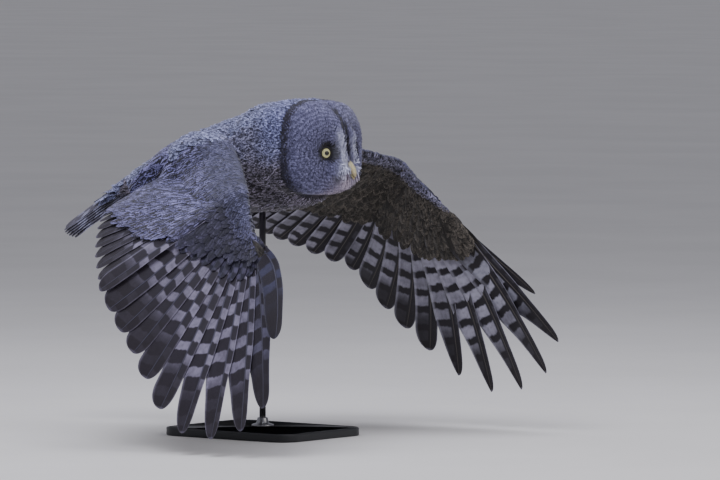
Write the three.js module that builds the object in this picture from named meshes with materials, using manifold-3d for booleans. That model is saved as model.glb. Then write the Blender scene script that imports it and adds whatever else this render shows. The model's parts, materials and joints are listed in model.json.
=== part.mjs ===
// A great grey owl in flight, life size, its wings at the end of the downstroke, held over a
// plain display stand. Sizes are in millimetres. +X is the way the owl flies, +Y is its left
// side and +Z is up. The origin is the middle of the underside of the stand's base.
//
// The owl is drawn in a frame of its own whose origin is the point midway between its
// shoulders. Body and head are modelled whole and parted by thin cuts. Each wing is a tapered
// core along the bones with its feathers rooted in it, and is parted at the wrist.
import * as THREE from 'three';
import { mergeVertices } from 'three/addons/utils/BufferGeometryUtils.js';
import Module from 'manifold-3d';

const wasm = await Module();
wasm.setup();

const { cos, sin, PI, abs, exp, max, min, sqrt, sign } = Math;
const lerp = THREE.MathUtils.lerp;
const smooth = (x, from, to) => THREE.MathUtils.smoothstep(x, from, to);
const bell = (x, middle, width) => exp(-(((x - middle) / width) ** 2));
const rad = THREE.MathUtils.degToRad;
const v3 = (x, y, z) => new THREE.Vector3(x, y, z);
const along = (point, direction, length) => point.clone().addScaledVector(direction, length);
const between = (a, b, share) => a.clone().lerp(b, share);

// Driving sizes

const GAP = 0.3; // slot left between parts that touch
const shoulderHeight = 478; // from the floor
const shoulderForward = 10; // ahead of the stand's middle, which is under the centre of weight

const base = { length: 280, width: 220, thickness: 14, corner: 34, bevel: 2.5 };
const collar = { radius: 19, height: 16 };
const rod = { radius: 5.5, sides: 16 };

// The body from the tail coverts to inside the head: place along X, height of the back and of
// the belly, half the width.
const bodyStations = [
  { x: -330, back: -60, belly: -84, half: 20 },
  { x: -296, back: -38, belly: -80, half: 32 },
  { x: -231, back: -2, belly: -76, half: 48 },
  { x: -177, back: 28, belly: -82, half: 61 },
  { x: -112, back: 49, belly: -92, half: 73 },
  { x: -58, back: 67, belly: -98, half: 80 },
  { x: 6, back: 86, belly: -98, half: 84 },
  { x: 71, back: 94, belly: -93, half: 84 },
  { x: 106, back: 90, belly: -82, half: 76 },
  { x: 126, back: 72, belly: -60, half: 58 },
];
const bodySides = 26;

const head = {
  centre: 12, // height of the middle of the face
  up: 84,
  down: 77,
  half: 91,
  front: 166, // the flat of the face between the eyes
  domeDrop: 41, // how far the rim of the face lies behind its middle
  square: 3.1, // two would give an ellipse
  sides: 32,
};
const eye = { x: 150.5, y: 33.5, z: 8, radius: 10.5, lidRadius: 10.2, lidThickness: 2.1, turn: 24 };
const bill = { root: v3(160, 0, -6), length: 31, drop: 27, height: 15, half: 8.6 };

// Parting planes of the body, each tilted so that the throat stays with the neck.
const neckTilt = rad(-24);
const headCut = { point: v3(64, 0, 0), normal: v3(cos(neckTilt), 0, -sin(neckTilt)) };
const torsoCut = { point: v3(6, 0, 0), normal: headCut.normal };

const tail = {
  slope: rad(28),
  roll: rad(34), // the right edge is held lower than the left
  tip: v3(-452, 0, -137),
  root: -208, // where the parting plane crosses the tail's axis, along X
  longest: 290,
  shortest: 258,
  feathersPerSide: 6,
  rootSpacing: 3.6,
  tipSpacing: 6.6,
  layer: 1.2,
  leadWidth: 13,
  trailWidth: 17,
  rounding: 0.1,
  thickness: 0.85,
};

// A wing is posed by its wrist, the way its hand points, the fan of its ten primaries and the
// line of tips of its other feathers. Swing turns a feather in the upright plane of flight,
// from straight down towards the head. Lift turns it outwards from there.
const handLength = 95;
const wingPoses = {
  left: {
    wrist: v3(120, 208, -19),
    edgeStart: v3(34, 74, 16),
    edgeBulge: 11,
    hand: { swing: 37.5, lift: 25.7 },
    primaries: { swing: -35, step: 8.58, growth: 0.11, lift: 22.7, liftStep: -0.97 },
    ninth: { swing: 0, lift: 0, roll: 0, bow: -4, before: 12, after: 40 },
    tenth: { swing: -2.9, lift: 0, roll: 0, bow: -10, before: 6, after: 24 },
    outerQuillShift: 5,
    fingers: { from: 2.5, twist: 20, before: 12, after: 40, notch: 0.4, point: 2.3, power: 1.3, fall: 0.9 },
    wristDepth: 8,
    armRoots: [v3(66, 184, -38), v3(4, 142, -44), v3(-40, 100, -30), v3(-52, 64, -8)],
    armTips: [
      v3(-66, 318, -211), v3(-158, 248, -163), v3(-206, 186, -129), v3(-231, 126, -97), v3(-226, 76, -68),
    ],
  },
  right: {
    wrist: v3(119, 211, -58),
    edgeStart: v3(-5, 76, 11),
    edgeBulge: 2,
    hand: { swing: 35.7, lift: 25 },
    primaries: { swing: -42, step: 7.45, growth: 0.15, lift: 30.8, liftStep: -1 },
    ninth: { swing: -2, lift: 0, roll: 14, bow: 13, before: 19, after: 36 },
    tenth: { swing: 5.5, lift: 6.5, roll: 36, bow: 24, before: 11, after: 29 },
    outerQuillShift: 11,
    fingers: { from: 3.5, twist: 0, before: 13, after: 38, notch: 1, point: 1.7, power: 1.7, fall: 0.5 },
    wristDepth: 15,
    armRoots: [v3(64, 187, -66), v3(4, 144, -58), v3(-40, 100, -36), v3(-52, 64, -10)],
    armTips: [
      v3(-71, 357, -216), v3(-143, 284, -156), v3(-191, 214, -109), v3(-224, 138, -93), v3(-228, 78, -74),
    ],
  },
};
const primaryLengths = [292, 298, 307, 326, 357, 381, 381, 366, 328, 234];
const alulaLengths = [92, 78];
const secondaryCount = 12;
const tertialCount = 3;
const scapularCount = 5;
const armBend = { bow: 5, arch: 10 }; // how far the shaft bends forwards and upwards
const handBend = { bow: 9, arch: 9 };
const shingleStep = 2.2; // how far each vane lies above its outer neighbour
const stiff = { shaft: 1.2, edge: 0.6 }; // thickness of a vane
const soft = { edge: 0.8 };
const edgeWay = v3(0.86, 0.1, 0.5); // from the bones of the hand to the leading edge
const quillStack = 4.4; // how far the outermost quill lies under the innermost primary's

// Joining, cutting and closing

function toSolid(geometry) {
  const bare = new THREE.BufferGeometry().setAttribute('position', geometry.getAttribute('position'));
  bare.setIndex(geometry.getIndex());
  const merged = mergeVertices(bare, 1e-4);
  return new wasm.Manifold(new wasm.Mesh({
    numProp: 3,
    vertProperties: new Float32Array(merged.getAttribute('position').array),
    triVerts: new Uint32Array(merged.getIndex().array),
  }));
}

function toGeometry(solid) {
  const mesh = solid.getMesh();
  const geometry = new THREE.BufferGeometry();
  geometry.setAttribute('position', new THREE.BufferAttribute(mesh.vertProperties, mesh.numProp));
  geometry.setIndex(new THREE.BufferAttribute(mesh.triVerts, 1));
  geometry.computeVertexNormals();
  return geometry;
}

function joined(solids) {
  return solids.reduce((whole, next) => whole.add(next));
}

function largest(solid) {
  return solid.decompose().reduce((best, next) => (next.volume() > best.volume() ? next : best));
}

// The half of space on the side that the normal points to.
function halfSpace({ point, normal }, offset = 0) {
  const size = 3000;
  const box = new THREE.BoxGeometry(size, size, size);
  box.translate(0, 0, size / 2 + offset);
  const turn = new THREE.Quaternion().setFromUnitVectors(v3(0, 0, 1), normal);
  box.applyQuaternion(turn);
  box.translate(point.x, point.y, point.z);
  return toSolid(box);
}

function inFrontOf(solid, cut) {
  return solid.intersect(halfSpace(cut, GAP / 2));
}

function behind(solid, cut) {
  const turned = { point: cut.point, normal: cut.normal.clone().negate() };
  return solid.intersect(halfSpace(turned, GAP / 2));
}

// A closed skin over rings of equally many points. From the ring point numbered mirroredFrom
// on, the quads are split the other way, so that the two faces of a vane are split alike.
function loft(rings, mirroredFrom = Infinity) {
  const count = rings[0].length;
  const points = rings.flat();
  const faces = [];
  for (let ring = 0; ring + 1 < rings.length; ring++) {
    for (let k = 0; k < count; k++) {
      const a = ring * count + k;
      const b = ring * count + (k + 1) % count;
      const split = k < mirroredFrom ? [a, b, b + count, a, b + count, a + count]
        : [a, b, a + count, b, b + count, a + count];
      faces.push(...split);
    }
  }
  const last = (rings.length - 1) * count;
  for (let k = 1; k + 1 < count; k++) {
    faces.push(0, k + 1, k);
    faces.push(last, last + k, last + k + 1);
  }
  const geometry = new THREE.BufferGeometry().setFromPoints(points);
  geometry.setIndex(signedVolume(points, faces) < 0 ? faces.reverse() : faces);
  return geometry;
}

function signedVolume(points, faces) {
  let six = 0;
  for (let i = 0; i < faces.length; i += 3) {
    const [a, b, c] = [points[faces[i]], points[faces[i + 1]], points[faces[i + 2]]];
    six += a.dot(b.clone().cross(c));
  }
  return six / 6;
}

// A round limb, claw or toe: rings across a curve, with a radius at each share of its length.
function limb(curve, radiusAt, sides, steps) {
  const rings = [];
  for (let i = 0; i <= steps; i++) {
    const t = i / steps;
    const centre = curve.getPoint(t);
    const ahead = curve.getTangent(t);
    const across = v3(0, 1, 0).addScaledVector(ahead, -ahead.y).normalize();
    const up = ahead.clone().cross(across);
    const ring = [];
    for (let k = 0; k < sides; k++) {
      const angle = 2 * PI * k / sides;
      const out = across.clone().multiplyScalar(cos(angle)).addScaledVector(up, sin(angle));
      ring.push(along(centre, out, radiusAt(t)));
    }
    rings.push(ring);
  }
  return loft(rings);
}

// Feathers

// A vane is a thin leaf about a bent shaft. frame(t) gives the shaft's place, the side of the
// leading edge, the upper side and the tilt at each station, and widths(t) the width before and
// behind the shaft. A stiff vane is thicker along its shaft, a soft one is a plain strip.
function vane({ frame, stations, widths, shaft, edge }) {
  const rings = stations.map((t) => {
    const { centre, side, up, tilt } = frame(t);
    const [before, after] = widths(t);
    const place = (across, height) => along(along(centre, side, across), up, height + across * tilt);
    const upper = [place(before, edge / 2), place(-after, edge / 2)];
    const under = [place(-after, -edge / 2), place(before, -edge / 2)];
    if (!shaft) return [...upper, ...under];
    return [upper[0], place(0, shaft / 2), upper[1], under[0], place(0, -shaft / 2), under[1]];
  });
  return toSolid(loft(rings, shaft ? 3 : 2));
}

// The outline of a flight feather: narrow at the quill, full along its length, then rounded
// over its last part. notch narrows the outer part of the long primaries to a finger, and point
// draws its tip out towards the leading side.
function flightWidths({ before, after, notch = 0, point, rounding }) {
  const end = (t, length, power, fall) => max(0, 1 - max(0, (t - 1 + length) / length) ** power) ** fall;
  return (t) => {
    const quill = lerp(0.12, 1, smooth(t, 0, 0.3));
    const beforeNotch = 1 - notch * 0.28 * smooth(t, 0.58, 0.8);
    const afterNotch = 1 - notch * 0.2 * smooth(t, 0.66, 0.84);
    const beforeEnd = end(t, rounding, 2.4, 0.5);
    const afterEnd = point ? end(t, point.length, point.power, point.fall) : beforeEnd;
    return [before * quill * beforeNotch * beforeEnd, after * quill * afterNotch * afterEnd];
  };
}

function flightStations({ kind, rounding, point }) {
  const shank = kind === 'primary' ? [0, 0.25, 0.55] : [0, 0.3];
  const last = max(rounding, point?.length ?? 0);
  return [...shank, ...[1, 0.42, 0.04].map((share) => 1 - last * share)];
}

function covertWidths(half) {
  return (t) => {
    const end = sqrt(max(0, 1 - max(0, (t - 0.62) / 0.4) ** 2));
    const width = half * lerp(0.3, 1, smooth(t, 0, 0.5)) * end;
    return [width, width];
  };
}

const covertStations = [0, 0.55, 0.85, 0.985];

// Wings

function direction(swing, lift) {
  return v3(
    cos(rad(lift)) * sin(rad(swing)),
    sin(rad(lift)),
    -cos(rad(lift)) * cos(rad(swing)),
  );
}

// Every flight feather of one wing in order from the body to the wing tip. Near the wing tip
// the feathers are rooted towards the leading edge of the hand, side by side.
function flightRow(pose) {
  const { wrist, hand, primaries } = pose;
  const row = [];
  const rootLine = new THREE.CatmullRomCurve3([wrist, ...pose.armRoots]);
  const tipLine = new THREE.CatmullRomCurve3(pose.armTips);
  const armCount = secondaryCount + tertialCount;
  for (let i = armCount - 1; i >= 0; i--) {
    const tertial = i >= secondaryCount;
    row.push({
      kind: tertial ? 'tertial' : 'secondary',
      root: rootLine.getPointAt(lerp(0.02, 1, i / (armCount - 1))),
      tip: tipLine.getPoint(i / (armCount - 1)),
      before: 14,
      after: tertial ? 20 : 25,
      rounding: 0.12,
      roll: 0,
      twist: 0,
      ...armBend,
    });
  }
  const handWay = direction(hand.swing, hand.lift);
  const handUp = edgeWay.clone().cross(handWay).normalize();
  const adjust = { 8: pose.ninth, 9: pose.tenth };
  const { fingers } = pose;
  primaryLengths.forEach((length, i) => {
    const finger = smooth(i, fingers.from, fingers.from + 2);
    const vanes = { before: lerp(16, fingers.before, finger), after: lerp(33, fingers.after, finger) };
    const turn = adjust[i] ?? { swing: 0, lift: 0, roll: 0, bow: handBend.bow, ...vanes };
    const swing = primaries.swing + primaries.step * i + primaries.growth * i * i + turn.swing;
    const way = direction(swing, primaries.lift + primaries.liftStep * i + turn.lift);
    const outward = i / (primaryLengths.length - 1);
    const onBone = along(wrist, handWay, handLength * lerp(0.04, 1, outward));
    const rounding = lerp(0.1, 0.15, finger);
    row.push({
      kind: 'primary',
      root: along(along(onBone, edgeWay, pose.outerQuillShift * outward ** 4), handUp, -quillStack * outward ** 3),
      tip: along(onBone, way, length),
      before: turn.before,
      after: turn.after,
      notch: fingers.notch * (turn === pose.tenth ? 0.35 : finger),
      point: {
        length: rounding * lerp(1, fingers.point, finger),
        power: lerp(2.4, fingers.power, finger),
        fall: lerp(0.5, fingers.fall, finger),
      },
      rounding: rounding * lerp(1, 0.6, finger),
      roll: rad(turn.roll),
      twist: rad(fingers.twist * smooth(i, 3, 7)),
      bow: turn.bow,
      arch: handBend.arch,
    });
  });
  row.forEach((feather, i) => {
    feather.way = feather.tip.clone().sub(feather.root).normalize();
    feather.length = feather.tip.distanceTo(feather.root);
    feather.inner = row[max(0, i - 1)];
    feather.outer = row[min(row.length - 1, i + 1)];
  });
  return { row, handWay };
}

// The shaft of a flight feather at a share t of its length. Its leading side runs along the
// wing towards the feather's outer neighbour, so that the row makes one smooth surface, and
// each vane is tilted just enough to lie clear over the next.
function shaftFrame(feather, t, rise = 0) {
  const straight = ({ root, tip }) => between(root, tip, t);
  const side = straight(feather.outer).sub(straight(feather.inner));
  const gaps = feather.inner === feather || feather.outer === feather ? 1 : 2;
  side.addScaledVector(feather.way, -side.dot(feather.way));
  const spacing = side.length() / gaps;
  const roll = feather.roll * smooth(t, 0.1, 0.4) + feather.twist * smooth(t, 0.35, 0.85);
  side.normalize().applyAxisAngle(feather.way, roll);
  const up = side.clone().cross(feather.way);
  const bend = 4 * t * (1 - t);
  const centre = along(straight(feather), side, feather.bow * bend);
  centre.addScaledVector(up, feather.arch * bend + rise);
  return { centre, side, up, tilt: min(0.25, shingleStep / spacing) };
}

// A ring round a section of the wing between its leading and its trailing point. It is blunt
// at both ends, and the coverts leave it there above and below the flight feathers.
function foil(leadPoint, trailPoint, up, thickness, sides = 12) {
  const ring = [];
  for (let k = 0; k < sides; k++) {
    const angle = 2 * PI * (k + 0.5) / sides;
    const chord = (1 - cos(angle)) / 2;
    const fullness = sqrt(1 - (2 * chord - 1) ** 4) * (1 - 0.68 * chord) * thickness / 2;
    const crown = thickness * 0.3 * sin(PI * chord);
    ring.push(along(between(leadPoint, trailPoint, chord), up, sign(sin(angle)) * fullness + crown));
  }
  return ring;
}

// The flesh and small feathers of a wing, from inside the body to the tip of the hand.
function wingCore(pose, { row, handWay }) {
  const edgeEnd = along(pose.wrist, edgeWay, pose.wristDepth);
  const edgeAt = (share) => {
    const point = between(pose.edgeStart, edgeEnd, share);
    return along(point, v3(0.72, -0.3, 0.62), pose.edgeBulge * sin(PI * share));
  };
  const handEdge = (share) => {
    const onBone = along(pose.wrist, handWay, handLength * share);
    return along(onBone, edgeWay, lerp(pose.wristDepth, 5, share));
  };
  const past = (index, length) => shaftFrame(row[index], length / row[index].length).centre;
  const wristIndex = tertialCount + secondaryCount;
  const sections = [
    { lead: along(pose.edgeStart, v3(-0.3, -1, 0), 34), trail: v3(-152, 40, 24), thickness: 40 },
    { lead: edgeAt(0), trail: v3(-150, 77, 0), thickness: 38 },
    { lead: edgeAt(0.25), trail: past(2, 62), thickness: 32 },
    { lead: edgeAt(0.5), trail: past(5, 52), thickness: 25 },
    { lead: edgeAt(0.78), trail: past(10, 42), thickness: 21 },
    { lead: edgeEnd, trail: past(wristIndex - 1, 40), thickness: 19 },
    { lead: handEdge(0.35), trail: past(wristIndex + 3, 38), thickness: 17 },
    { lead: handEdge(0.75), trail: past(wristIndex + 7, 36), thickness: 14 },
    { lead: handEdge(1.06), trail: past(wristIndex + 9, 30), thickness: 8 },
  ];
  const rings = sections.map(({ lead, trail, thickness }, i) => {
    const before = sections[max(0, i - 1)];
    const after = sections[min(sections.length - 1, i + 1)];
    const span = between(after.lead, after.trail, 0.5).sub(between(before.lead, before.trail, 0.5));
    const up = span.cross(trail.clone().sub(lead)).normalize();
    return foil(lead, trail, up, thickness);
  });
  return toSolid(loft(rings));
}

function flightFeathers(row) {
  return row.map((feather) => vane({
    frame: (t) => shaftFrame(feather, t),
    stations: flightStations(feather),
    widths: flightWidths(feather),
    ...(feather.kind === 'primary' ? stiff : soft),
  }));
}

// Coverts lie over the flight feathers. Each starts in the wing's core and ends a little clear
// of the upper or the under side of its feather.
function coverts(feathers, { from, to, half, rootRise, tipRise }) {
  return feathers.map((feather) => vane({
    frame: (t) => shaftFrame(feather, lerp(from, to, t), lerp(rootRise, tipRise, sqrt(t))),
    stations: covertStations,
    widths: covertWidths(half),
    ...soft,
  }));
}

// The alula: small stiff feathers on the thumb that lie along the leading edge of the hand.
function alula({ wrist }, { row, handWay }) {
  const { up } = shaftFrame(row.at(-1), 0.1);
  const side = up.clone().cross(handWay).negate().normalize();
  return alulaLengths.map((length, i) => {
    const start = along(along(wrist, side, 7 - 9 * i), up, 6 - 1.6 * i);
    const end = along(along(along(wrist, handWay, 12 + length), side, 3 - 9 * i), up, 15 - 1.6 * i);
    return vane({
      frame: (t) => ({ centre: between(start, end, t), side, up, tilt: 0.08 }),
      stations: covertStations,
      widths: covertWidths(8),
      ...soft,
    });
  });
}

function wing(pose, bodyRoom) {
  const rig = flightRow(pose);
  const { row } = rig;
  const arm = row.filter(({ kind }) => kind !== 'primary');
  const hand = row.filter(({ kind }) => kind === 'primary');
  const everyOther = row.filter((feather, i) => i % 2 === 0);
  const pieces = [
    wingCore(pose, rig),
    ...flightFeathers(row),
    ...coverts(arm, { from: 0.11, to: 0.42, half: 10, rootRise: 4.2, tipRise: 5 }),
    ...coverts(hand, { from: 0.07, to: 0.32, half: 11, rootRise: 4.2, tipRise: 5 }),
    ...coverts(everyOther, { from: 0.1, to: 0.36, half: 10, rootRise: -4, tipRise: -5.6 }),
    ...coverts(arm.slice(0, scapularCount), { from: -0.25, to: 0.55, half: 13, rootRise: 12, tipRise: 9 }),
    ...alula(pose, rig),
  ];
  const whole = joined(pieces).subtract(bodyRoom);
  // The parting plane at the wrist runs between the outermost secondary and the first primary.
  const outerSecondary = arm.at(-1);
  const firstPrimary = hand[0];
  const way = outerSecondary.way.clone().add(firstPrimary.way).normalize();
  const { side } = shaftFrame(outerSecondary, 0.6);
  const normal = side.addScaledVector(way, -side.dot(way)).normalize();
  const cut = { point: between(outerSecondary.root, firstPrimary.root, 0.5), normal };
  return { arm: largest(behind(whole, cut)), hand: largest(inFrontOf(whole, cut)) };
}

// Body and head

function bodyLoft(grow = 0) {
  const rings = bodyStations.map(({ x, back, belly, half }) => {
    const ring = [];
    const middle = (back + belly) / 2;
    const deep = (back - belly) / 2 + grow;
    for (let k = 0; k < bodySides; k++) {
      const angle = 2 * PI * (k + 0.5) / bodySides;
      ring.push(v3(x, (half + grow) * sin(angle), middle + deep * cos(angle)));
    }
    return ring;
  });
  return toSolid(loft(rings));
}

// How far forward the face reaches at a place across it.
function faceFront(y, z) {
  const up = z - head.centre;
  const high = up > 0 ? head.up : head.down;
  const outward = (abs(y / head.half) ** head.square + abs(up / high) ** head.square) ** (1 / head.square);
  const dome = head.front - head.domeDrop * min(1, outward) ** 3.2;
  const fromEye = Math.hypot(abs(y) - eye.y, z - eye.z);
  const bowl = -7 * bell(fromEye, 0, 21);
  const ring = 2.2 * bell(fromEye, 46, 15);
  const muzzle = (5 + 12 * bell(z, -14, 24)) * bell(y, 0, 20) * (1 - smooth(z, 55, 85));
  const crescent = 9 * bell(abs(y), 14, 7) * smooth(z, -45, -30) * (1 - smooth(z, 35, 55));
  const bristles = 7 * bell(abs(y), 18, 8) * bell(z, -24, 14);
  const chin = 24 * bell(y, 0, 24) * bell(z, -46, 15);
  return dome + bowl + ring + muzzle + crescent + bristles + chin;
}

function headLoft(grow = 0) {
  const faceShares = [0.05, 0.15, 0.27, 0.4, 0.54, 0.7, 0.87, 1];
  const nape = [
    { x: 112, size: 1.03 },
    { x: 96, size: 1.035 },
    { x: 70, size: 1.015 },
    { x: 40, size: 0.97 },
    { x: 8, size: 0.88 },
    { x: -20, size: 0.72 },
  ];
  const outline = (angle, size) => {
    const high = cos(angle) > 0 ? head.up : head.down;
    const square = abs(cos(angle)) ** head.square + abs(sin(angle)) ** head.square;
    const reach = size * square ** (-1 / head.square);
    return [
      (reach * head.half + grow) * sin(angle),
      head.centre + (reach * high + grow) * cos(angle),
    ];
  };
  const ringOf = (place) => {
    const ring = [];
    for (let k = 0; k < head.sides; k++) ring.push(place(2 * PI * (k + 0.5) / head.sides));
    return ring;
  };
  const rings = faceShares.map((share) => ringOf((angle) => {
    const [y, z] = outline(angle, share);
    return v3(faceFront(y, z) + grow, y, z);
  }));
  for (const { x, size } of nape) {
    rings.push(ringOf((angle) => {
      const [y, z] = outline(angle, size);
      return v3(x, y, z);
    }));
  }
  return toSolid(loft(rings));
}

function eyePlace(side, geometry) {
  geometry.rotateZ(side * rad(eye.turn));
  geometry.translate(eye.x, side * eye.y, eye.z);
  return toSolid(geometry);
}

// The lids: a ring that holds the front of the eye.
function lidRing(side) {
  const ring = new THREE.TorusGeometry(eye.lidRadius, eye.lidThickness, 6, 18);
  ring.rotateY(PI / 2);
  ring.translate(5.4, 0, 0);
  return eyePlace(side, ring);
}

function eyeBall(side, grow = 0) {
  return eyePlace(side, new THREE.IcosahedronGeometry(eye.radius + grow, 2));
}

// Half of the bill: rings along a curve that hooks down.
function billHalf({ root, length, drop, height, half, hook }) {
  const rings = [];
  const steps = 6;
  const sides = 10;
  for (let i = 0; i <= steps; i++) {
    const t = i / steps;
    const turn = t * rad(hook);
    const centre = v3(root.x + length * sin(turn) / sin(rad(hook)), 0, root.z - drop * t ** 1.7);
    const size = max(0.06, sqrt(1 - t ** 1.6));
    const lean = -turn * 0.8;
    const ring = [];
    for (let k = 0; k < sides; k++) {
      const angle = 2 * PI * (k + 0.5) / sides;
      const up = height / 2 * size * cos(angle);
      ring.push(v3(centre.x - up * sin(lean), half * size * sin(angle), centre.z + up * cos(lean)));
    }
    rings.push(ring);
  }
  return toSolid(loft(rings));
}

function nostril(side) {
  const pit = new THREE.IcosahedronGeometry(2.1, 2);
  pit.scale(1.5, 0.8, 0.8);
  pit.translate(bill.root.x + 26, side * 5.6, bill.root.z - 12);
  return toSolid(pit);
}

// Tail

function tailFrame() {
  const way = v3(-cos(tail.slope), 0, -sin(tail.slope));
  const up = v3(-sin(tail.slope), 0, cos(tail.slope)).applyAxisAngle(way, -tail.roll);
  const left = way.clone().cross(up);
  const back = (tail.tip.x - tail.root) / way.x;
  const root = along(tail.tip, way, -back);
  return { way, up, left, root };
}

function tailFeathers() {
  const { way, up, left } = tailFrame();
  const start = along(tail.tip, way, -tail.longest);
  const solids = [];
  for (let k = 0; k < tail.feathersPerSide; k++) {
    for (const side of [1, -1]) {
      const layer = (2 * k + (side > 0 ? 0 : 1)) * tail.layer;
      const length = lerp(tail.longest, tail.shortest, (k / (tail.feathersPerSide - 1)) ** 1.5);
      const frame = (t) => {
        const onAxis = along(along(start, way, t * length), up, 12 * t * (1 - t) - layer);
        const across = side * (lerp(2, 5, t) + lerp(tail.rootSpacing, tail.tipSpacing, t) * k);
        return { centre: along(onAxis, left, across), side: left.clone().multiplyScalar(side), up, tilt: 0 };
      };
      const shape = { before: tail.leadWidth, after: tail.trailWidth, rounding: tail.rounding };
      solids.push(vane({ frame, stations: flightStations(shape), widths: flightWidths(shape), edge: tail.thickness }));
    }
  }
  return solids;
}

// Legs and feet, drawn up against the belly

const leg = {
  hip: v3(-66, 36, -70),
  heel: v3(-138, 34, -84),
  ankle: v3(-196, 32, -90),
  thigh: 27,
  shank: 15,
};
const toes = [
  { start: v3(-210, 22, -92), end: v3(-243, 15, -97), radius: 6.6 },
  { start: v3(-212, 31, -93), end: v3(-251, 30, -98), radius: 7 },
  { start: v3(-210, 40, -92), end: v3(-241, 47, -97), radius: 6.6 },
  { start: v3(-196, 33, -98), end: v3(-213, 35, -116), radius: 6.2 },
];
const clawLength = 21;

function legSolid() {
  const curve = new THREE.CatmullRomCurve3([leg.hip, leg.heel, leg.ankle]);
  return toSolid(limb(curve, (t) => lerp(leg.thigh, leg.shank, smooth(t, 0.1, 0.75)), 12, 5));
}

function toeCurve({ start, end }) {
  const knuckle = between(start, end, 0.5).add(v3(0, 0, 4));
  return new THREE.CatmullRomCurve3([start, knuckle, end]);
}

function footSolid() {
  const palm = new THREE.IcosahedronGeometry(13, 1);
  palm.scale(1.25, 1.25, 0.85);
  palm.translate(-203, 32, -91);
  const toeSolids = toes.map((toe) => toSolid(limb(toeCurve(toe), (t) => toe.radius * (1 - 0.22 * t), 6, 2)));
  return joined([toSolid(palm), ...toeSolids]);
}

// A claw hooks down from the flat end of its toe.
function clawSolid(toe) {
  const way = toeCurve(toe).getTangent(1);
  const start = along(toe.end, way, GAP);
  const bend = along(start, way, clawLength * 0.5).add(v3(0, 0, -1));
  const point = along(start, way, clawLength * 0.7).add(v3(0, 0, -11));
  const curve = new THREE.CatmullRomCurve3([start, bend, point]);
  return toSolid(limb(curve, (t) => lerp(3.8, 0.35, t ** 1.2), 6, 4));
}

// Stand

function baseSolid() {
  const { length, width, corner, thickness, bevel } = base;
  const shape = new THREE.Shape();
  const [x, y] = [length / 2 - bevel, width / 2 - bevel];
  const turns = [[1, 1], [-1, 1], [-1, -1], [1, -1]];
  turns.forEach(([right, up], i) => {
    shape.absarc(right * (x - corner), up * (y - corner), corner, i * PI / 2, (i + 1) * PI / 2);
  });
  const slab = new THREE.ExtrudeGeometry(shape, {
    depth: thickness - 2 * bevel,
    bevelEnabled: true,
    bevelThickness: bevel,
    bevelSize: bevel,
    bevelSegments: 1,
    curveSegments: 4,
  });
  slab.translate(0, 0, bevel);
  return toSolid(slab);
}

function collarSolid() {
  const { radius, height } = collar;
  const profile = [[0, 0], [radius, 0], [radius, 3], [radius - 2, 5], [11, 7], [9, height], [0, height]];
  const boss = new THREE.LatheGeometry(profile.map(([r, z]) => new THREE.Vector2(r, z)), rod.sides);
  boss.rotateX(PI / 2);
  boss.translate(0, 0, base.thickness + GAP);
  return toSolid(boss);
}

function rodSolid(bodyRoom) {
  const bottom = base.thickness + collar.height + 2 * GAP;
  const top = shoulderHeight - 60;
  const bar = new THREE.CylinderGeometry(rod.radius, rod.radius, top - bottom, rod.sides);
  bar.rotateX(PI / 2);
  bar.translate(0, 0, (top + bottom) / 2);
  const room = bodyRoom.translate([shoulderForward, 0, shoulderHeight]);
  return toSolid(bar).subtract(room);
}

// Assembly

const finishes = {
  plumage: { color: 0x6f6c72, roughness: 0.85, metalness: 0 },
  feather: { color: 0x4f4a50, roughness: 0.7, metalness: 0 },
  horn: { color: 0xc9b37a, roughness: 0.45, metalness: 0 },
  iris: { color: 0xe8c22e, roughness: 0.15, metalness: 0 },
  claw: { color: 0x1d1b1c, roughness: 0.35, metalness: 0 },
  stand: { color: 0x3a3b3d, roughness: 0.45, metalness: 0.6 },
};

function part(name, solid, finish) {
  const mesh = new THREE.Mesh(toGeometry(largest(solid)), new THREE.MeshStandardMaterial(finishes[finish]));
  mesh.name = name;
  return mesh;
}

function mirrored(solid) {
  return solid.mirror([0, 1, 0]);
}

const wholeBody = bodyLoft().add(headLoft());
const bodyRoom = bodyLoft(1.6 * GAP).add(headLoft(1.6 * GAP));
const { way: tailWay, root: tailRoot } = tailFrame();
const tailCut = { point: tailRoot, normal: tailWay.clone().negate() };

const owl = new THREE.Group();
owl.position.set(shoulderForward, 0, shoulderHeight);

// Head, with the lids round each eye and the bill let into the face
let headSolid = inFrontOf(wholeBody, headCut);
for (const side of [1, -1]) {
  headSolid = headSolid.add(lidRing(side)).subtract(eyeBall(side, GAP));
}
headSolid = largest(headSolid);
const faceRoom = headSolid.translate([GAP * 1.2, 0, 0]);
const upperBill = billHalf({ ...bill, hook: 78 });
const lowerBill = billHalf({
  root: v3(bill.root.x - 4, 0, bill.root.z - 11), length: 33, drop: 20, height: 9, half: 6, hook: 60,
});
owl.add(part('head', headSolid, 'plumage'));
owl.add(part('bill_upper', upperBill.subtract(faceRoom).subtract(nostril(1)).subtract(nostril(-1)), 'horn'));
owl.add(part('bill_lower', lowerBill.subtract(faceRoom).subtract(upperBill.translate([0, 0, -GAP])), 'horn'));
owl.add(part('eye_left', eyeBall(1), 'iris'));
owl.add(part('eye_right', eyeBall(-1), 'iris'));

owl.add(part('neck', inFrontOf(behind(wholeBody, headCut), torsoCut), 'plumage'));
const torsoSolid = inFrontOf(behind(wholeBody, torsoCut), tailCut);
owl.add(part('torso', torsoSolid, 'plumage'));
owl.add(part('tail', behind(joined([wholeBody, ...tailFeathers()]), tailCut), 'feather'));

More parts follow.
